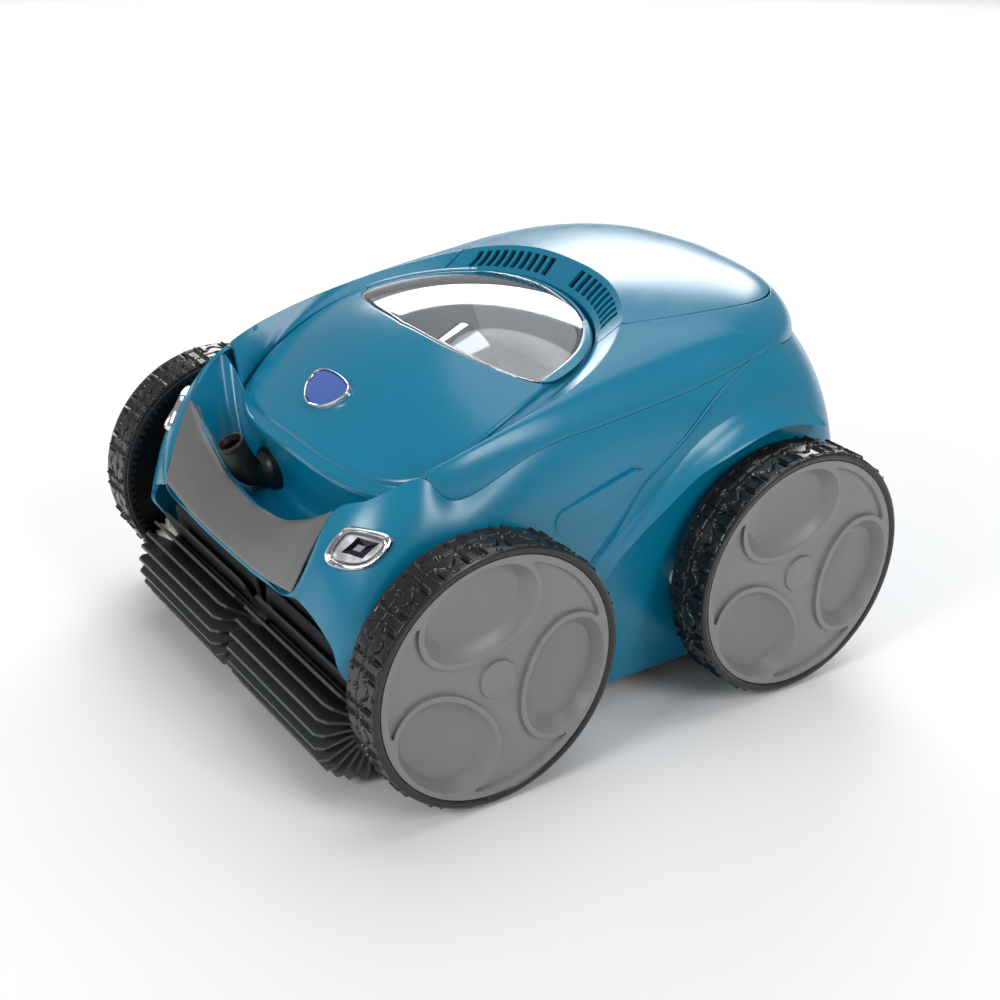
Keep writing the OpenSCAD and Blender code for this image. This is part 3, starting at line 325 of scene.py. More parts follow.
def deck_edge(s):
    return 0.9 * (1 - (1 - max(0, (s - split) / (1 - split))) ** 5)


def hood_point(s, v):
    a, b, k = rim_out(front_angle + (90 - front_angle) * s), seam_point(s), ease((s - 0.3) / 0.7)
    m, q = 1.7 + 3.3 * k, 0.75 - 0.35 * k
    at = a.lerp(b, v)
    at.z = b.z + (a.z - b.z) * (1 - min(1, v) ** m) ** q
    return at


lid_gap = 1.0


def hood_inner(s):
    return lid_line(-38 + 128 * s ** 0.88, -lid_gap)


def hood_side(u, w):
    """w runs from the side seam, over the rim and down beside the lid."""
    s = 0.02 + (split - 0.02) * u
    if w < 0.8:
        # points crowd towards the rim and the seam, where the surface turns fastest
        v = 0.5 + 0.5 * math.cos(math.pi * w / 0.8)
        return hood_point(s, v)
    if w < 0.92:
        return hood_point(s, 0).lerp(hood_inner(s), (w - 0.8) / 0.12)
    return hood_inner(s) - Vector((0, 0, 9 * (w - 0.92) / 0.08))


hood = grid(150, 50, hood_side)
hood = mirrored(hood)
face_out(hood, (0, -20, 150))
piece(hood, "hood_sides", "chassis", teal_abs, ("hood",), thick=wall, soften=0.6)


def hood_rear(u, w):
    s = split + (1 - split) * u
    return hood_point(s, deck_edge(s) + (1 - deck_edge(s)) * (1 - w))


rear = mirrored(grid(110, 22, hood_rear))
face_out(rear, (0, 60, 150))
piece(rear, "hood_rear", "chassis", teal_abs, ("hood",), thick=wall, soften=0.6)

# ---------------------------------------------------------------------------
# Rear deck: a separate teal panel over the pump outlet, with two fans of slanted
# slots in its front slope. Dark ducting lies below the slots.
# ---------------------------------------------------------------------------


def deck_top(u, w):
    s = split + 0.005 + (1 - split - 0.005) * u
    return hood_point(s, w * max(0, deck_edge(s) - 0.012))


deck = mirrored(grid(110, 40, deck_top))
face_out(deck, (0, 60, 150))
piece(deck, "deck_panel", "chassis", teal_abs, ("rear_deck",), thick=wall, soften=0.6)


def deck_slope(u, w):
    """The slope between the rim and the lid gap, then a short skirt down."""
    s = split + 0.005 + (1 - split - 0.005) * u
    if w < 0.8:
        # the bars lean: points move sideways as they go down the slope
        lean = 0.035 * math.sin(math.pi * w / 0.8) * (1 - u) * ease(u * 8)
        s = min(1, s + lean * (1 - split))
        return hood_point(s, 0).lerp(hood_inner(s), w / 0.8)
    return hood_inner(s) - Vector((0, 0, 9 * (w - 0.8) / 0.2))


bars = 64
slope = grid(bars, 20, deck_slope)
# each slot takes three columns of faces and each bar between them takes two
slots = [face for face in slope.faces
         if 3 <= face.index // bars <= 12 and 8 <= face.index % bars <= 58 and face.index % bars % 5 < 3]
bmesh.ops.delete(slope, geom=slots, context="FACES")
slope = mirrored(slope)
face_out(slope, (0, 60, 150))
piece(slope, "deck_slope", "chassis", teal_abs, ("rear_deck",), thick=wall, soften=0.35)

# ---------------------------------------------------------------------------
# Front recess: a deep teal basin between the handle and the lid. The cable leaves
# through its back wall.
# ---------------------------------------------------------------------------
basin_rows = [
    [(0, -192, 149), (45, -191, 155), (78, -189.5, 170), (104, -189.5, 185), (111.5, -189, 188.5), (128, -171.5, 200),
     (139, -149.5, 209.5), (113, -147.5, 190), (62, -166.5, 189), (0, -171.5, 191.5)],
    [(0, -191, 144), (45, -190, 146), (76, -186, 151), (98, -181, 160), (104, -177, 164), (113, -165, 170),
     (117, -156, 174), (104, -152, 168), (56, -160, 168), (0, -164, 174)],
    [(0, -189, 139), (42, -187, 139.5), (70, -182, 141), (86, -177, 144), (93, -172, 146), (96, -166, 147),
     (94, -160, 147), (86, -156, 146), (50, -155.5, 143), (0, -157, 145)],
    [(0, -184, 137), (38, -182, 137.5), (62, -178, 138), (76, -173, 139), (80, -170, 139), (82, -166, 139),
     (80, -162, 139), (74, -159, 139), (44, -158.5, 138), (0, -160, 137.5)],
    [(0, -172, 137)] * 10]


def basin_point(u, w):
    return along([along(row, u) for row in basin_rows], w)


basin = mirrored(grid(120, 50, basin_point))
bmesh.ops.remove_doubles(basin, verts=basin.verts, dist=0.05)
bmesh.ops.recalc_face_normals(basin, faces=basin.faces)
if min(basin.faces, key=lambda f: f.calc_center_median().z).normal.z < 0:
    bmesh.ops.reverse_faces(basin, faces=basin.faces)
piece(basin, "front_basin", "chassis", teal_abs, ("front_tub",), thick=2)

# ---------------------------------------------------------------------------
# Handle: a grey satin ABS bar across the front, with a broad front face, a rounded
# upper edge to grip and an inner face that runs down into the recess.
# ---------------------------------------------------------------------------
handle_low = [(101, -218.4, 134), (55, -218, 125.5), (0, -217, 122.5)]
handle_edge = [(110, -192.5, 187.5), (98, -196, 179), (80, -198, 169), (45, -200.5, 154), (0, -202, 148)]
handle_back = [(109, -188.5, 187), (94, -190, 178.5), (77, -191.5, 169), (43, -193.5, 155.5), (0, -194.5, 150)]
satin_abs = moulded_plastic("grey_satin_handle_abs", "646464", 0.34, 0.8, 0.01)


def handle_point(u, w):
    low, edge, back = along(handle_low, u), along(handle_edge, u), along(handle_back, u)
    middle = low.lerp(edge, 0.5) + Vector((0, -1.6, 0))
    near_edge = low.lerp(edge, 0.9) + Vector((0, -0.6, 0))
    top = (edge + back) / 2 + Vector((0, 0, 1.3))
    deep = ease(u * 3)
    inner = back + Vector((-0.12 * back.x * deep, 5 * deep, -10 * deep - 1))
    foot = inner + Vector((-0.04 * back.x, 1.5, -13 * deep - 1))
    rows = [low + Vector((0, 3, -1)), low, low.lerp(edge, 0.25) + Vector((0, -1.1, 0)), middle,
            low.lerp(edge, 0.74) + Vector((0, -1.3, 0)), near_edge, edge + Vector((0, 0.4, 0.5)), top, back,
            inner, foot]
    return along(rows, w)


handle = mirrored(grid(90, 60, handle_point))
face_out(handle, (0, -150, 90))
piece(handle, "handle_bar", "chassis", satin_abs, ("front_handle",), thick=1.6)

# ---------------------------------------------------------------------------
# Cable elbow: a soft black PVC strain relief. It leaves the recess wall, turns up
# and ends in an open socket that takes the floating cable.
# ---------------------------------------------------------------------------
elbow_x, elbow_z, bend_r = -46, 151, 12.5
soft_pvc = moulded_plastic("soft_black_pvc", "141414", 0.42, 1.2, 0.02)


def pull(bm, edges, move=(0, 0, 0), wider=1.0, about=None):
    """Extrudes a ring of edges, moves the new ring and makes it wider or narrower."""
    made = bmesh.ops.extrude_edge_only(bm, edges=edges)["geom"]
    verts = [v for v in made if isinstance(v, bmesh.types.BMVert)]
    bmesh.ops.translate(bm, vec=move, verts=verts)
    middle = sum((v.co for v in verts), Vector()) / len(verts)
    for v in verts:
        v.co = middle + (v.co - middle) * wider
    return [e for e in made if isinstance(e, bmesh.types.BMEdge) and all(v in verts for v in e.verts)]


elbow = bmesh.new()
start = bmesh.ops.create_circle(elbow, radius=14.5, segments=64,
                                matrix=Matrix.Translation((elbow_x, -160, elbow_z))
                                @ Matrix.Rotation(math.pi / 2, 4, "X"))
loop = list(dict.fromkeys(e for v in start["verts"] for e in v.link_edges))
for step, wider in ((-1.5, 1.0), (-1.0, 0.95), (-2.5, 0.88), (-1.2, 0.92), (-2.0, 0.98), (-0.5, 0.97)):
    loop = pull(elbow, loop, (0, step, 0), wider)
lean = math.radians(24)
axis_point = Vector((elbow_x, sum(e.verts[0].co.y for e in loop) / len(loop), elbow_z + bend_r))
turned = bmesh.ops.spin(elbow, geom=loop, cent=axis_point, axis=(-1, 0, 0), dvec=(0, 0, 0),
                        angle=math.pi / 2 - lean, steps=12, use_merge=False)["geom_last"]
loop = [e for e in turned if isinstance(e, bmesh.types.BMEdge)]
run = Vector((0, -math.sin(lean), math.cos(lean)))
for step, wider in ((8, 0.97), (10, 0.98), (1.2, 1.0), (0.9, 1.05), (2.0, 1.0), (0.7, 0.97), (0.1, 0.85), (-0.8, 0.96),
                    (-3, 1), (-0.5, 0.95), (-2, 1), (-0.5, 1.05), (-3, 1), (-0.5, 0.95), (-8, 1), (-0.2, 0.02)):
    loop = pull(elbow, loop, run * step, wider)
bmesh.ops.remove_doubles(elbow, verts=elbow.verts, dist=0.05)
bmesh.ops.recalc_face_normals(elbow, faces=elbow.faces)
if max(elbow.faces, key=lambda f: f.calc_center_median().x).normal.x < 0:
    bmesh.ops.reverse_faces(elbow, faces=elbow.faces)
piece(elbow, "cable_elbow_boot", "elbow", soft_pvc, ("cable_elbow",), crease=60)

# ---------------------------------------------------------------------------
# Front trims: chrome-plated frames on both front corners, each round a satin dish
# and a dark faceted reflector.
# ---------------------------------------------------------------------------
corner = Matrix.Translation((136, -186, 172)) @ Matrix.Rotation(math.radians(46), 4, "Z") \
    @ Matrix.Rotation(math.radians(68), 4, "X")
trim_key = [(-9.8, 15.7), (6, 15.6), (21, 13.4), (26.4, 8.4), (23, -0.5), (14, -10), (4, -14.7), (-7, -16),
            (-21, -14.2), (-26, -8.6), (-24, -1), (-17.4, 9.5)]


def trim_outline(count):
    """Points round the frame's outline, a rounded lozenge."""
    ring_key = [(x * 0.83, y * 0.83, 0) for x, y in trim_key]
    wrapped = ring_key[-2:] + ring_key + ring_key[:3]
    n = len(ring_key)
    return [along(wrapped, (2 + n * i / count) / (len(wrapped) - 1)) for i in range(count)]


trim_points = trim_outline(96)


def on_corner(q, lift):
    towards = corner.to_3x3() @ Vector((0, 0, -1))
    hit = shell_skin.ray_cast(corner @ Vector((q.x, q.y, 45)), towards)[0]
    return hit - towards * lift


def trim_rings(steps):
    """Rings round the corner's outline: (size, height over the shell) for each."""
    def place(u, w):
        k = min(int(round(w * (len(steps) - 1))), len(steps) - 1)
        size, lift = steps[k]
        q = trim_points[int(round(u * 96)) % 96]
        return on_corner(q * size, lift)
    bm = grid(96, len(steps) - 1, place)
    bmesh.ops.remove_doubles(bm, verts=bm.verts, dist=0.02)
    return mirrored(bm)


chrome_ring = trim_rings([(1.04, -0.8), (1.035, 1.4), (1.0, 2.9), (0.96, 3.3), (0.92, 3.0), (0.885, 2.0), (0.87, 0.9),
                          (0.85, 1.1), (0.82, 1.9), (0.79, 2.1), (0.765, 1.6), (0.75, 0.5)])
dish = trim_rings([(0.755, 0.9), (0.7, 0.5), (0.6, 0.35), (0.3, 0.3), (0.01, 0.3)])
facets = bmesh.new()
bmesh.ops.create_cone(facets, cap_ends=True, segments=4, radius1=10.5, radius2=3.6, depth=2.2,
                      matrix=Matrix.Translation((1.5, 0.5, 0)))
for v in facets.verts:
    v.co = Vector((v.co.x * 1.25, v.co.y * 0.66, v.co.z))
    v.co = Matrix.Rotation(math.radians(18), 3, "Z") @ v.co
    v.co = on_corner(v.co, 1.5 + v.co.z)
facets = mirrored(facets)

# ---------------------------------------------------------------------------
# Lid: teal moulding in front, with a clear polycarbonate window let in behind.
# ---------------------------------------------------------------------------
window_line = [(0, -73, 0), (48, -68, 0), (92, -54, 0), (119, -34, 0), (117.5, -10, 0), (104, 13, 0),
               (80, 32, 0), (44, 45.5, 0), (0, 50.5, 0)]
window_middle = Vector((0, -8, 0))


def on_lid(x, y, drop=0):
    return Vector((x, y, lid_height(x, y) - drop))


def window_at(u, inset):
    d = along(window_line, u) - window_middle
    return window_middle + d * (1 - inset / d.length)


# across the lid: share of the way, distance in from its edge, depth below the dome
lid_steps = [(0, 0, 8.5), (0.06, 0, 4.4), (0.08, 0.6, 3.8), (0.18, 4.6, 3.5), (0.21, 5.4, 3.2), (0.25, 6.2, 0.9),
             (0.28, 7.2, 0.15), (0.31, 8.6, 0)]


def lid_edge(u, inset):
    """Where the line from the window's middle through its rim point u meets the lid's edge."""
    way = (window_at(u, 0) - window_middle).normalized()
    near_by, far = 0.0, 220.0
    for _ in range(24):
        reach = (near_by + far) / 2
        at = window_middle + way * reach
        length = (lid_fore if at.y < lid_mid else lid_aft) - inset
        inside = (abs(at.x) / (lid_half - inset)) ** lid_power + (abs(at.y - lid_mid) / length) ** lid_power < 1
        near_by, far = (reach, far) if inside else (near_by, reach)
    return window_middle + way * near_by


def lid_front(u, w):
    for (w0, in0, drop0), (w1, in1, drop1) in zip(lid_steps, lid_steps[1:]):
        if w <= w1:
            f = (w - w0) / (w1 - w0)
            q = lid_edge(u, lid_gap / 2 + (in0 + (in1 - in0) * f) * lid_flange(u))
            return on_lid(q.x, q.y, drop0 + (drop1 - drop0) * f)
    at = lid_edge(u, lid_gap / 2 + 8.6 * lid_flange(u)).lerp(window_at(u, 0), (w - 0.31) / 0.69)
    return on_lid(at.x, at.y, 0)


def lid_flange(u):
    """The flange narrows where the window comes close to the edge."""
    return 1 - 0.45 * ease((u - 0.35) / 0.3)


# the badge stands in a hole near the front edge
badge_place = Matrix.Translation((0, -133, lid_height(0, -133))) @ Matrix.Rotation(math.radians(36), 4, "X")


def badge_line(u, size):
    """Shield outline: arched top, two corners and a round foot; u runs once round."""
    half = [(0, 12.4, 0), (11, 11.6, 0), (20.3, 8.9, 0), (23.6, 4.2, 0), (22.4, -2.6, 0), (17.8, -9.4, 0),
            (10, -15.2, 0), (0, -17.6, 0)]
    t = 2 * u if u <= 0.5 else 2 - 2 * u
    q = along(half, t)
    return Vector((q.x if u <= 0.5 else -q.x, q.y, 0)) * size


lid = grid(240, 100, lid_front)
to_badge = badge_place.inverted()
in_hole = [f for f in lid.faces
           if (lambda q: q.x * q.x / 20.5 ** 2 + (q.y + 1) ** 2 / 13.0 ** 2 < 1)(to_badge @ f.calc_center_median())]
bmesh.ops.delete(lid, geom=in_hole, context="FACES")
lid = mirrored(lid)
face_out(lid, (0, -60, 150))
piece(lid, "lid_panel", "lid", teal_abs, ("lid_shell",), thick=2.2, crease=70)


def window_pane(u, w):
    at = window_at(u, 0.45).lerp(window_middle, w)
    return on_lid(at.x, at.y, 0.15)


# Clear injection-moulded polycarbonate, a little smoky, polished on both faces
polycarbonate = new_material("clear_polycarbonate")
pane_place = add(polycarbonate, "ShaderNodeTexCoord").outputs["Object"]
pane_wave = add(polycarbonate, "ShaderNodeTexNoise", {"Vector": pane_place}, Scale=30, Detail=1)
pane_bump = add(polycarbonate, "ShaderNodeBump", {"Height": pane_wave.outputs["Fac"]}, Strength=0.1,
                Distance=0.00002)
pane_shader = add(polycarbonate, "ShaderNodeBsdfPrincipled", {"Normal": pane_bump.outputs[0]}, IOR=1.58,
                  Roughness=0.03, **{"Base Color": linear("e3e8ea"), "Transmission Weight": 1.0})
add(polycarbonate, "ShaderNodeOutputMaterial", {"Surface": pane_shader.outputs[0]})

pane = mirrored(grid(110, 30, window_pane))
bmesh.ops.remove_doubles(pane, verts=pane.verts, dist=0.01)
face_out(pane, (0, -10, 100))
window = piece(pane, "window_pane", "lid", polycarbonate, ("lid_window",), thick=wall)
window.visible_shadow = False

# ---------------------------------------------------------------------------
# Wheel discs: grey ABS covers pressed on the rims. Three oval dishes with raised
# lips, a sunk three-armed web between them and a round button at the centre.
# ---------------------------------------------------------------------------
disc_r, rim_inner = 86.8, 82.0
dish_angles = (104.5, -15.5, -135.5)
axle_y, axle_z = 130.0, 95.7
disc_face = 213.5


def oval(angle, along_half, across_half, distance, count, power=2.12):
    """Points of an oval dish that lies across a radius of the wheel."""
    a = math.radians(angle)
    out, side = Vector((0, math.cos(a), math.sin(a))), Vector((0, -math.sin(a), math.cos(a)))
    points = []
    for i in range(count):
        t = 2 * math.pi * i / count
        c, n = math.cos(t), math.sin(t)
        points.append(out * (distance + across_half * math.copysign(abs(n) ** (2 / power), n))
                      + side * along_half * math.copysign(abs(c) ** (2 / power), c))
    return points


def ring(bm, points, x):
    """A closed ring of edges through points, at the height x along the axle."""
    verts = [bm.verts.new((x, p.y, p.z)) for p in points]
    return [bm.edges.new((verts[i], verts[(i + 1) % len(verts)])) for i in range(len(verts))]


# each lip is an oval: half its length, half its width, and its middle's distance from the axle
lip_long, lip_wide, lip_out = 46.3, 33.2, 53.9


def lip_turn(p, angle):
    """How far round the lip at this angle the point p lies, seen from the lip's middle."""
    a = math.radians(angle)
    return math.atan2((p.y * -math.sin(a) + p.z * math.cos(a)) / lip_long,
                      (lip_out - (p.y * math.cos(a) + p.z * math.sin(a))) / lip_wide)


def lip_side(angle):
    """The part of a lip that lies inside the outer ring, in order."""
    inside = [p for p in oval(angle, lip_long, lip_wide, lip_out, 240) if p.length < rim_inner - 1.5]
    return sorted(inside, key=lambda p: lip_turn(p, angle))


def web_outline():
    """The sunk web: inside the outer ring and outside the three lips."""
    outline = []
    order = sorted(dish_angles)
    for angle, following in zip(order, order[1:] + order[:1]):
        # the inner side of this lip, then the outer ring as far as the next lip
        side, first = lip_side(angle), lip_side(following)[0]
        outline += side
        a0, a1 = math.atan2(side[-1].z, side[-1].y), math.atan2(first.z, first.y)
        while a1 < a0:
            a1 += 2 * math.pi
        steps = max(2, int((a1 - a0) * rim_inner / 2.5))
        for i in range(steps + 1):
            a = a0 + (a1 - a0) * (0.02 + 0.96 * i / steps)
            outline.append(Vector((0, rim_inner * math.cos(a), rim_inner * math.sin(a))))
    return outline


def step_down(bm, edges, points, x):
    """Pulls a wall from a ring of edges to matching points at another height."""
    made = bmesh.ops.extrude_edge_only(bm, edges=edges)["geom"]
    verts = [v for v in made if isinstance(v, bmesh.types.BMVert)]
    old = [e.verts[0] for e in edges]
    rows = {}
    for v in verts:
        rows[min(range(len(old)), key=lambda i: (old[i].co - v.co).length)] = v
    for i, v in rows.items():
        v.co = Vector((x, points[i].y, points[i].z))
    return [e for e in made if isinstance(e, bmesh.types.BMEdge) and all(v in verts for v in e.verts)]


def wheel_disc():
    """A disc centred on the axle, its face towards +X."""
    bm = bmesh.new()
    circle = [Vector((0, disc_r * math.cos(a), disc_r * math.sin(a)))
              for a in (2 * math.pi * i / 160 for i in range(160))]
    outer = ring(bm, circle, disc_face)
    web = ring(bm, web_outline(), disc_face)
    dishes = [(ring(bm, oval(a, 42.5, 29.5, lip_out, 72), disc_face), a) for a in dish_angles]
    bmesh.ops.triangle_fill(bm, edges=outer + web + [e for d, _ in dishes for e in d], use_beauty=True)
    step_down(bm, outer, [p * (disc_r - 1.2) / disc_r for p in circle], disc_face - 9)
    low = step_down(bm, web, [p * 0.985 for p in web_outline()], disc_face - 3.0)
    bmesh.ops.triangle_fill(bm, edges=low, use_beauty=True)
    for edges, a in dishes:
        low = step_down(bm, edges, oval(a, 41.2, 28.4, 54.1, 72), disc_face - 1.8)
        low = step_down(bm, low, oval(a, 34.2, 22.0, 56.5, 72), disc_face - 8.8)
        bmesh.ops.triangle_fill(bm, edges=low, use_beauty=True)
    button = bmesh.ops.create_circle(bm, cap_ends=False, radius=14, segments=64,
                                     matrix=Matrix.Translation((disc_face - 3.0, 0, 0))
                                     @ Matrix.Rotation(math.pi / 2, 4, "Y"))
    loop = list(dict.fromkeys(e for v in button["verts"] for e in v.link_edges))
    for radius, x in ((13.2, 2.0), (12.2, 1.6), (11.0, 1.55), (9.0, 2.15), (4.5, 1.7), (0.6, 1.5)):
        made = bmesh.ops.extrude_edge_only(bm, edges=loop)["geom"]
        verts = [v for v in made if isinstance(v, bmesh.types.BMVert)]
        for v in verts:
            flat = Vector((0, v.co.y, v.co.z))
            v.co = flat * (radius / flat.length) + Vector((disc_face - 3.0 + x, 0, 0))
        loop = [e for e in made if isinstance(e, bmesh.types.BMEdge) and all(v in verts for v in e.verts)]
    bmesh.ops.triangle_fill(bm, edges=loop)
    return bm


def on_wheel(bm, end, side):
    """Moves a mesh drawn about the left wheel's axle to one of the four wheels."""
    if side == "right":
        bmesh.ops.scale(bm, vec=(-1, 1, 1), verts=bm.verts)
        bmesh.ops.reverse_faces(bm, faces=bm.faces)
    bmesh.ops.translate(bm, vec=(0, -axle_y if end == "front" else axle_y, axle_z), verts=bm.verts)
    return bm


wheels = [(end, side) for end in ("front", "rear") for side in ("left", "right")]
disc_abs = moulded_plastic("grey_disc_abs", "7d7d7d", 0.4, 0.9, 0.012)
for end, side in wheels:
    bm = wheel_disc()
    bmesh.ops.recalc_face_normals(bm, faces=bm.faces)
    if max(bm.faces, key=lambda f: f.calc_area()).normal.x < 0:
        bmesh.ops.reverse_faces(bm, faces=bm.faces)
    piece(on_wheel(bm, end, side), "disc_cover_%s_%s" % (end, side), "wheel_%s_%s" % (end, side), disc_abs,
          ("disc_%s_%s" % (end, side),), soften=0.9, smooth=3, crease=50)

# ---------------------------------------------------------------------------
# Tyres: soft black rubber moulded in one ring with a smooth round bead outside.
# Each of 18 pitches has two thin fins, a wavy groove, a round pit and edge notches.
# ---------------------------------------------------------------------------
pitch, tread_r = 20.0, 93.1


def near(value, centre, half, edge):
    """1 within half of the centre, 0 beyond it, with a sloped edge."""
    return min(1, max(0, (half + edge / 2 - abs(value - centre)) / edge))


def tread_height(turn, x):
    """Height of the tread over its base at an angle within its pitch, and at x across it."""
    a = (turn + pitch / 2) % pitch - pitch / 2
    from_mid = abs(a)                      # 0 at the fins' centre, 10 half way to the next pair
    mm = math.radians(1) * tread_r
    height = 0.0
    # wide lugs beside the fins, cut by the wavy groove
    wave = 199.0 + 6.5 * ease((from_mid - 4.6) / 4.6)
    height -= 1.8 * near(x, wave, 1.2, 0.9) * near(from_mid, 7.0, 5.2, 0.6)
    height -= 1.6 * near(x, 193.5, 0.5, 0.7)
    height -= 1.4 * near(x, 212.9, 0.4, 0.6)
    # round pit half way
    height -= 2.2 * near(math.hypot((10 - from_mid) * mm, x - 192.3), 0, 2.6, 0.8)
    # notches at both edges
    height -= 2.0 * near(from_mid, 10.0, 0.9, 0.4) * max(near(x, 181.0, 3.4, 0.8), near(x, 212.5, 2.0, 0.8))
    # slots beside the fins
    height -= 1.7 * near(from_mid, 4.35, 0.5, 0.4) * max(near(x, 183.5, 2.6, 0.8), near(x, 206.5, 5.0, 0.8))
    # the two fins stand proud
    height += 1.7 * near(from_mid, 2.7, 0.3, 0.34) * near(x, 196.3, 16.2, 2.4)
    height -= 0.9 * near(from_mid, 0, 1.9, 0.5) * near(x, 196, 13.5, 1.0)
    return height


profile = [(181.0, 88.5), (180.9, 91.4), (181.6, 92.7)] \
    + [(182.3 + 0.75 * i, tread_r) for i in range(41)] \
    + [(213.0, 93.0), (213.6, 92.6), (214.1, 91.9), (214.4, 90.9), (214.4, 89.7), (214.1, 88.6), (213.6, 87.7),
       (213.0, 87.0), (211.5, 86.9)]


def tyre():
    steps = 18 * 44
    bm = grid(steps, len(profile) - 1, lambda u, w: Vector((u, w, 0)))
    for v in bm.verts:
        a, k = 360 * v.co.x, round(v.co.y * (len(profile) - 1))
        x, r = profile[k]
        if 2 <= k <= 44:
            r += tread_height(a, x) * (0.4 if k in (2, 44) else 1)
        v.co = Vector((x, r * math.cos(math.radians(a)), r * math.sin(math.radians(a))))
    bmesh.ops.remove_doubles(bm, verts=bm.verts, dist=0.005)
    return bm


tyre_black = moulded_plastic("moulded_tyre_rubber", "141414", 0.27, 0.9, 0.01)
for end, side in wheels:
    bm = tyre()
    bmesh.ops.recalc_face_normals(bm, faces=bm.faces)
    if max(bm.faces, key=lambda f: f.calc_center_median().z).normal.z < 0:
        bmesh.ops.reverse_faces(bm, faces=bm.faces)
    piece(on_wheel(bm, end, side), "tyre_tread_%s_%s" % (end, side), "wheel_%s_%s" % (end, side), tyre_black,
          ("tyre_%s_%s" % (end, side),), crease=50)

# ---------------------------------------------------------------------------
# Debris canister cover: a light grey ABS bowl seen through the window, round the
# chrome ring of the cyclone.
# ---------------------------------------------------------------------------
bowl_abs = moulded_plastic("light_grey_bowl_abs", "8b8d90", 0.3, 1.2, 0.005)


def bowl_point(u, w):
    """w runs from the rim under the window, down the wall and across the floor."""
    rim = window_at(u, -1.5)
    rows = [(1.0, -10), (0.995, -14), (0.97, -30), (0.93, -46), (0.84, -54), (0.6, -57), (0.3, -58), (0.01, -58)]
    q = along([(a, b, 0) for a, b in rows], w)
    at = window_middle.lerp(rim, q.x)
    return Vector((at.x * 0.86, at.y, lid_height(rim.x * 0.86, rim.y) * q.x + (1 - q.x) * 262 + q.y))


bowl = mirrored(grid(90, 60, bowl_point))
bmesh.ops.remove_doubles(bowl, verts=bowl.verts, dist=0.05)
bmesh.ops.recalc_face_normals(bowl, faces=bowl.faces)
if min(bowl.faces, key=lambda f: f.calc_center_median().z).normal.z < 0:
    bmesh.ops.reverse_faces(bowl, faces=bowl.faces)
piece(bowl, "canister_bowl", "canister", bowl_abs, ("canister_cover",), thick=2)

# ---------------------------------------------------------------------------
# Everything that is kept as the CAD made it takes its material here.
# ---------------------------------------------------------------------------
# Spark-eroded tools give polypropylene and nylon parts a fine dull grain
dark_plastic = moulded_plastic("dark_polypropylene", "2b2d2f", 0.5, 0.7, 0.05)
black_nylon = moulded_plastic("black_nylon", "17181a", 0.45, 0.7, 0.05)
filter_abs = moulded_plastic("light_grey_abs", "a9abad", 0.35, 1.2, 0.03)
acetal = moulded_plastic("natural_acetal", "dcd8cc", 0.35, 1.5, 0.02)
blue_lacquer = moulded_plastic("blue_lacquer", "4264b6", 0.2, 3, 0.01, coat=0.5)
foam = moulded_plastic("closed_cell_foam", "dcd6c4", 0.85, 1.5, 0.3)
rubber = moulded_plastic("tyre_rubber", "161616", 0.46, 0.8, 0.05, ior=1.52)
bristle = moulded_plastic("brush_pvc", "4b4e50", 0.36, 1.5, 0.01)
board = moulded_plastic("coated_board", "1c5c34", 0.3, 2, 0.02)
mesh_cloth = moulded_plastic("filter_mesh", "c9c7bd", 0.8, 0.6, 0.2)


def plated(name, colour, rough, scratch):
    material = new_material(name)
    place = add(material, "ShaderNodeTexCoord").outputs["Object"]
    haze = add(material, "ShaderNodeTexNoise", {"Vector": place}, Scale=scratch, Detail=3)
    gloss = add(material, "ShaderNodeMapRange", {"Value": haze.outputs["Fac"]},
                **{"To Min": rough * 0.7, "To Max": rough * 1.4})
    shader = add(material, "ShaderNodeBsdfPrincipled", {"Roughness": gloss.outputs[0]},
                 Metallic=1.0, **{"Base Color": linear(colour)})
    add(material, "ShaderNodeOutputMaterial", {"Surface": shader.outputs[0]})
    return material


chrome = plated("bright_chrome", "d9dbdd", 0.07, 60)
steel = plated("turned_stainless_steel", "b9bbbe", 0.28, 400)
can_metal = plated("motor_can", "8d9195", 0.35, 200)
mirror_dark = plated("dark_mirror", "2b2b30", 0.08, 60)

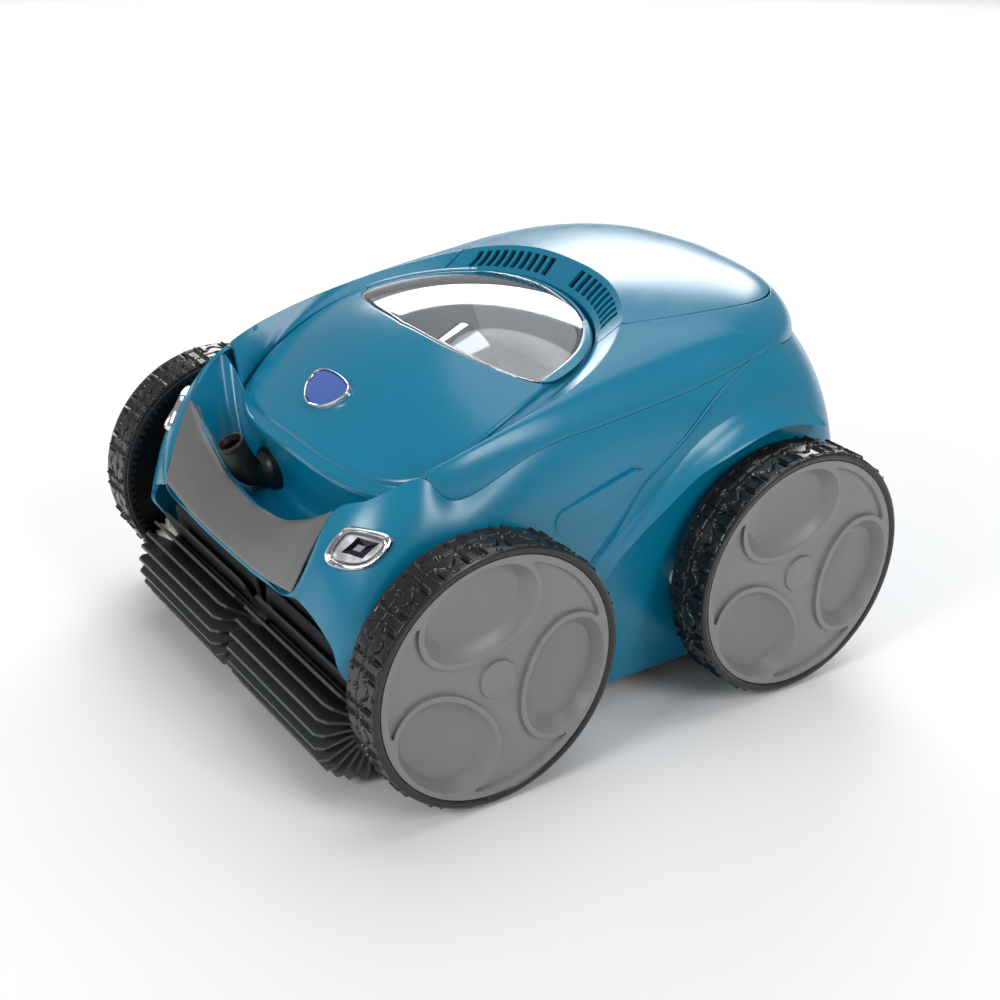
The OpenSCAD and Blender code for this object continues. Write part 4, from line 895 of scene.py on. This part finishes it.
for bm, centre in ((chrome_ring, (0, -140, 150)), (dish, (0, -140, 150)), (facets, (0, -140, 150))):
    face_out(bm, centre)
satin_chrome = plated("satin_chrome", "6d6e70", 0.34, 200)
piece(chrome_ring, "corner_frames", "chassis", chrome, ("light_bezels",))
piece(dish, "corner_dishes", "chassis", satin_chrome, ())
piece(facets, "corner_reflectors", "chassis", mirror_dark, ("light_lenses",), crease=5)


def badge_rings(steps):
    def place(u, w):
        k = min(int(round(w * (len(steps) - 1))), len(steps) - 1)
        size, height = steps[k]
        q = badge_line(u, size)
        return badge_place @ Vector((q.x, q.y, height))
    bm = grid(120, len(steps) - 1, place)
    bmesh.ops.remove_doubles(bm, verts=bm.verts, dist=0.02)
    return face_out(bm, (0, -120, 200))


piece(badge_rings([(1.02, -2.5), (1.03, 1.6), (1.0, 3.0), (0.965, 3.4), (0.93, 3.1), (0.915, 2.2), (0.91, -3)]),
      "badge_frame", "lid", chrome, ("badge_bezel",))
piece(badge_rings([(0.9, -6), (0.9, 1.6), (0.885, 2.1), (0.8, 2.35), (0.5, 2.7), (0.2, 2.85), (0.01, 2.88)]),
      "badge_button", "button", blue_lacquer, ("latch_button",))

finishes = {
    teal_abs: ["side_caps"],
    chrome: ["cyclone_ring"],
    steel: ["latch_spring", "lid_hinge_pins", "stub_axles", "axle_screws", "brush_spindle", "case_screws"],
    rubber: ["lid_gasket"],
    black_nylon: ["cable_gland", "inlet_flap"]
                 + ["rim_%s_%s" % (e, s) for e in ("front", "rear") for s in ("left", "right")],
    dark_plastic: ["belly_pan", "side_frames", "motor_housing", "housing_cover", "outlet_duct", "brush_support"],
    acetal: ["idler_gear_left", "idler_gear_right", "brush_gear_left", "brush_gear_right", "propeller"]
            + ["pinion_%s_%s" % (e, s) for e in ("front", "rear") for s in ("left", "right")],
    can_metal: ["traction_motors", "pump_motor"],
    board: ["control_board"],
    filter_abs: ["filter_bay", "canister_body"],
    mesh_cloth: ["canister_screen"],
    foam: ["float_blocks"],
    bristle: ["brush_roller_left", "brush_roller_right"],
}
for material, names in finishes.items():
    for name in names:
        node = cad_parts[name]
        node.data.materials.clear()
        node.data.materials.append(material)
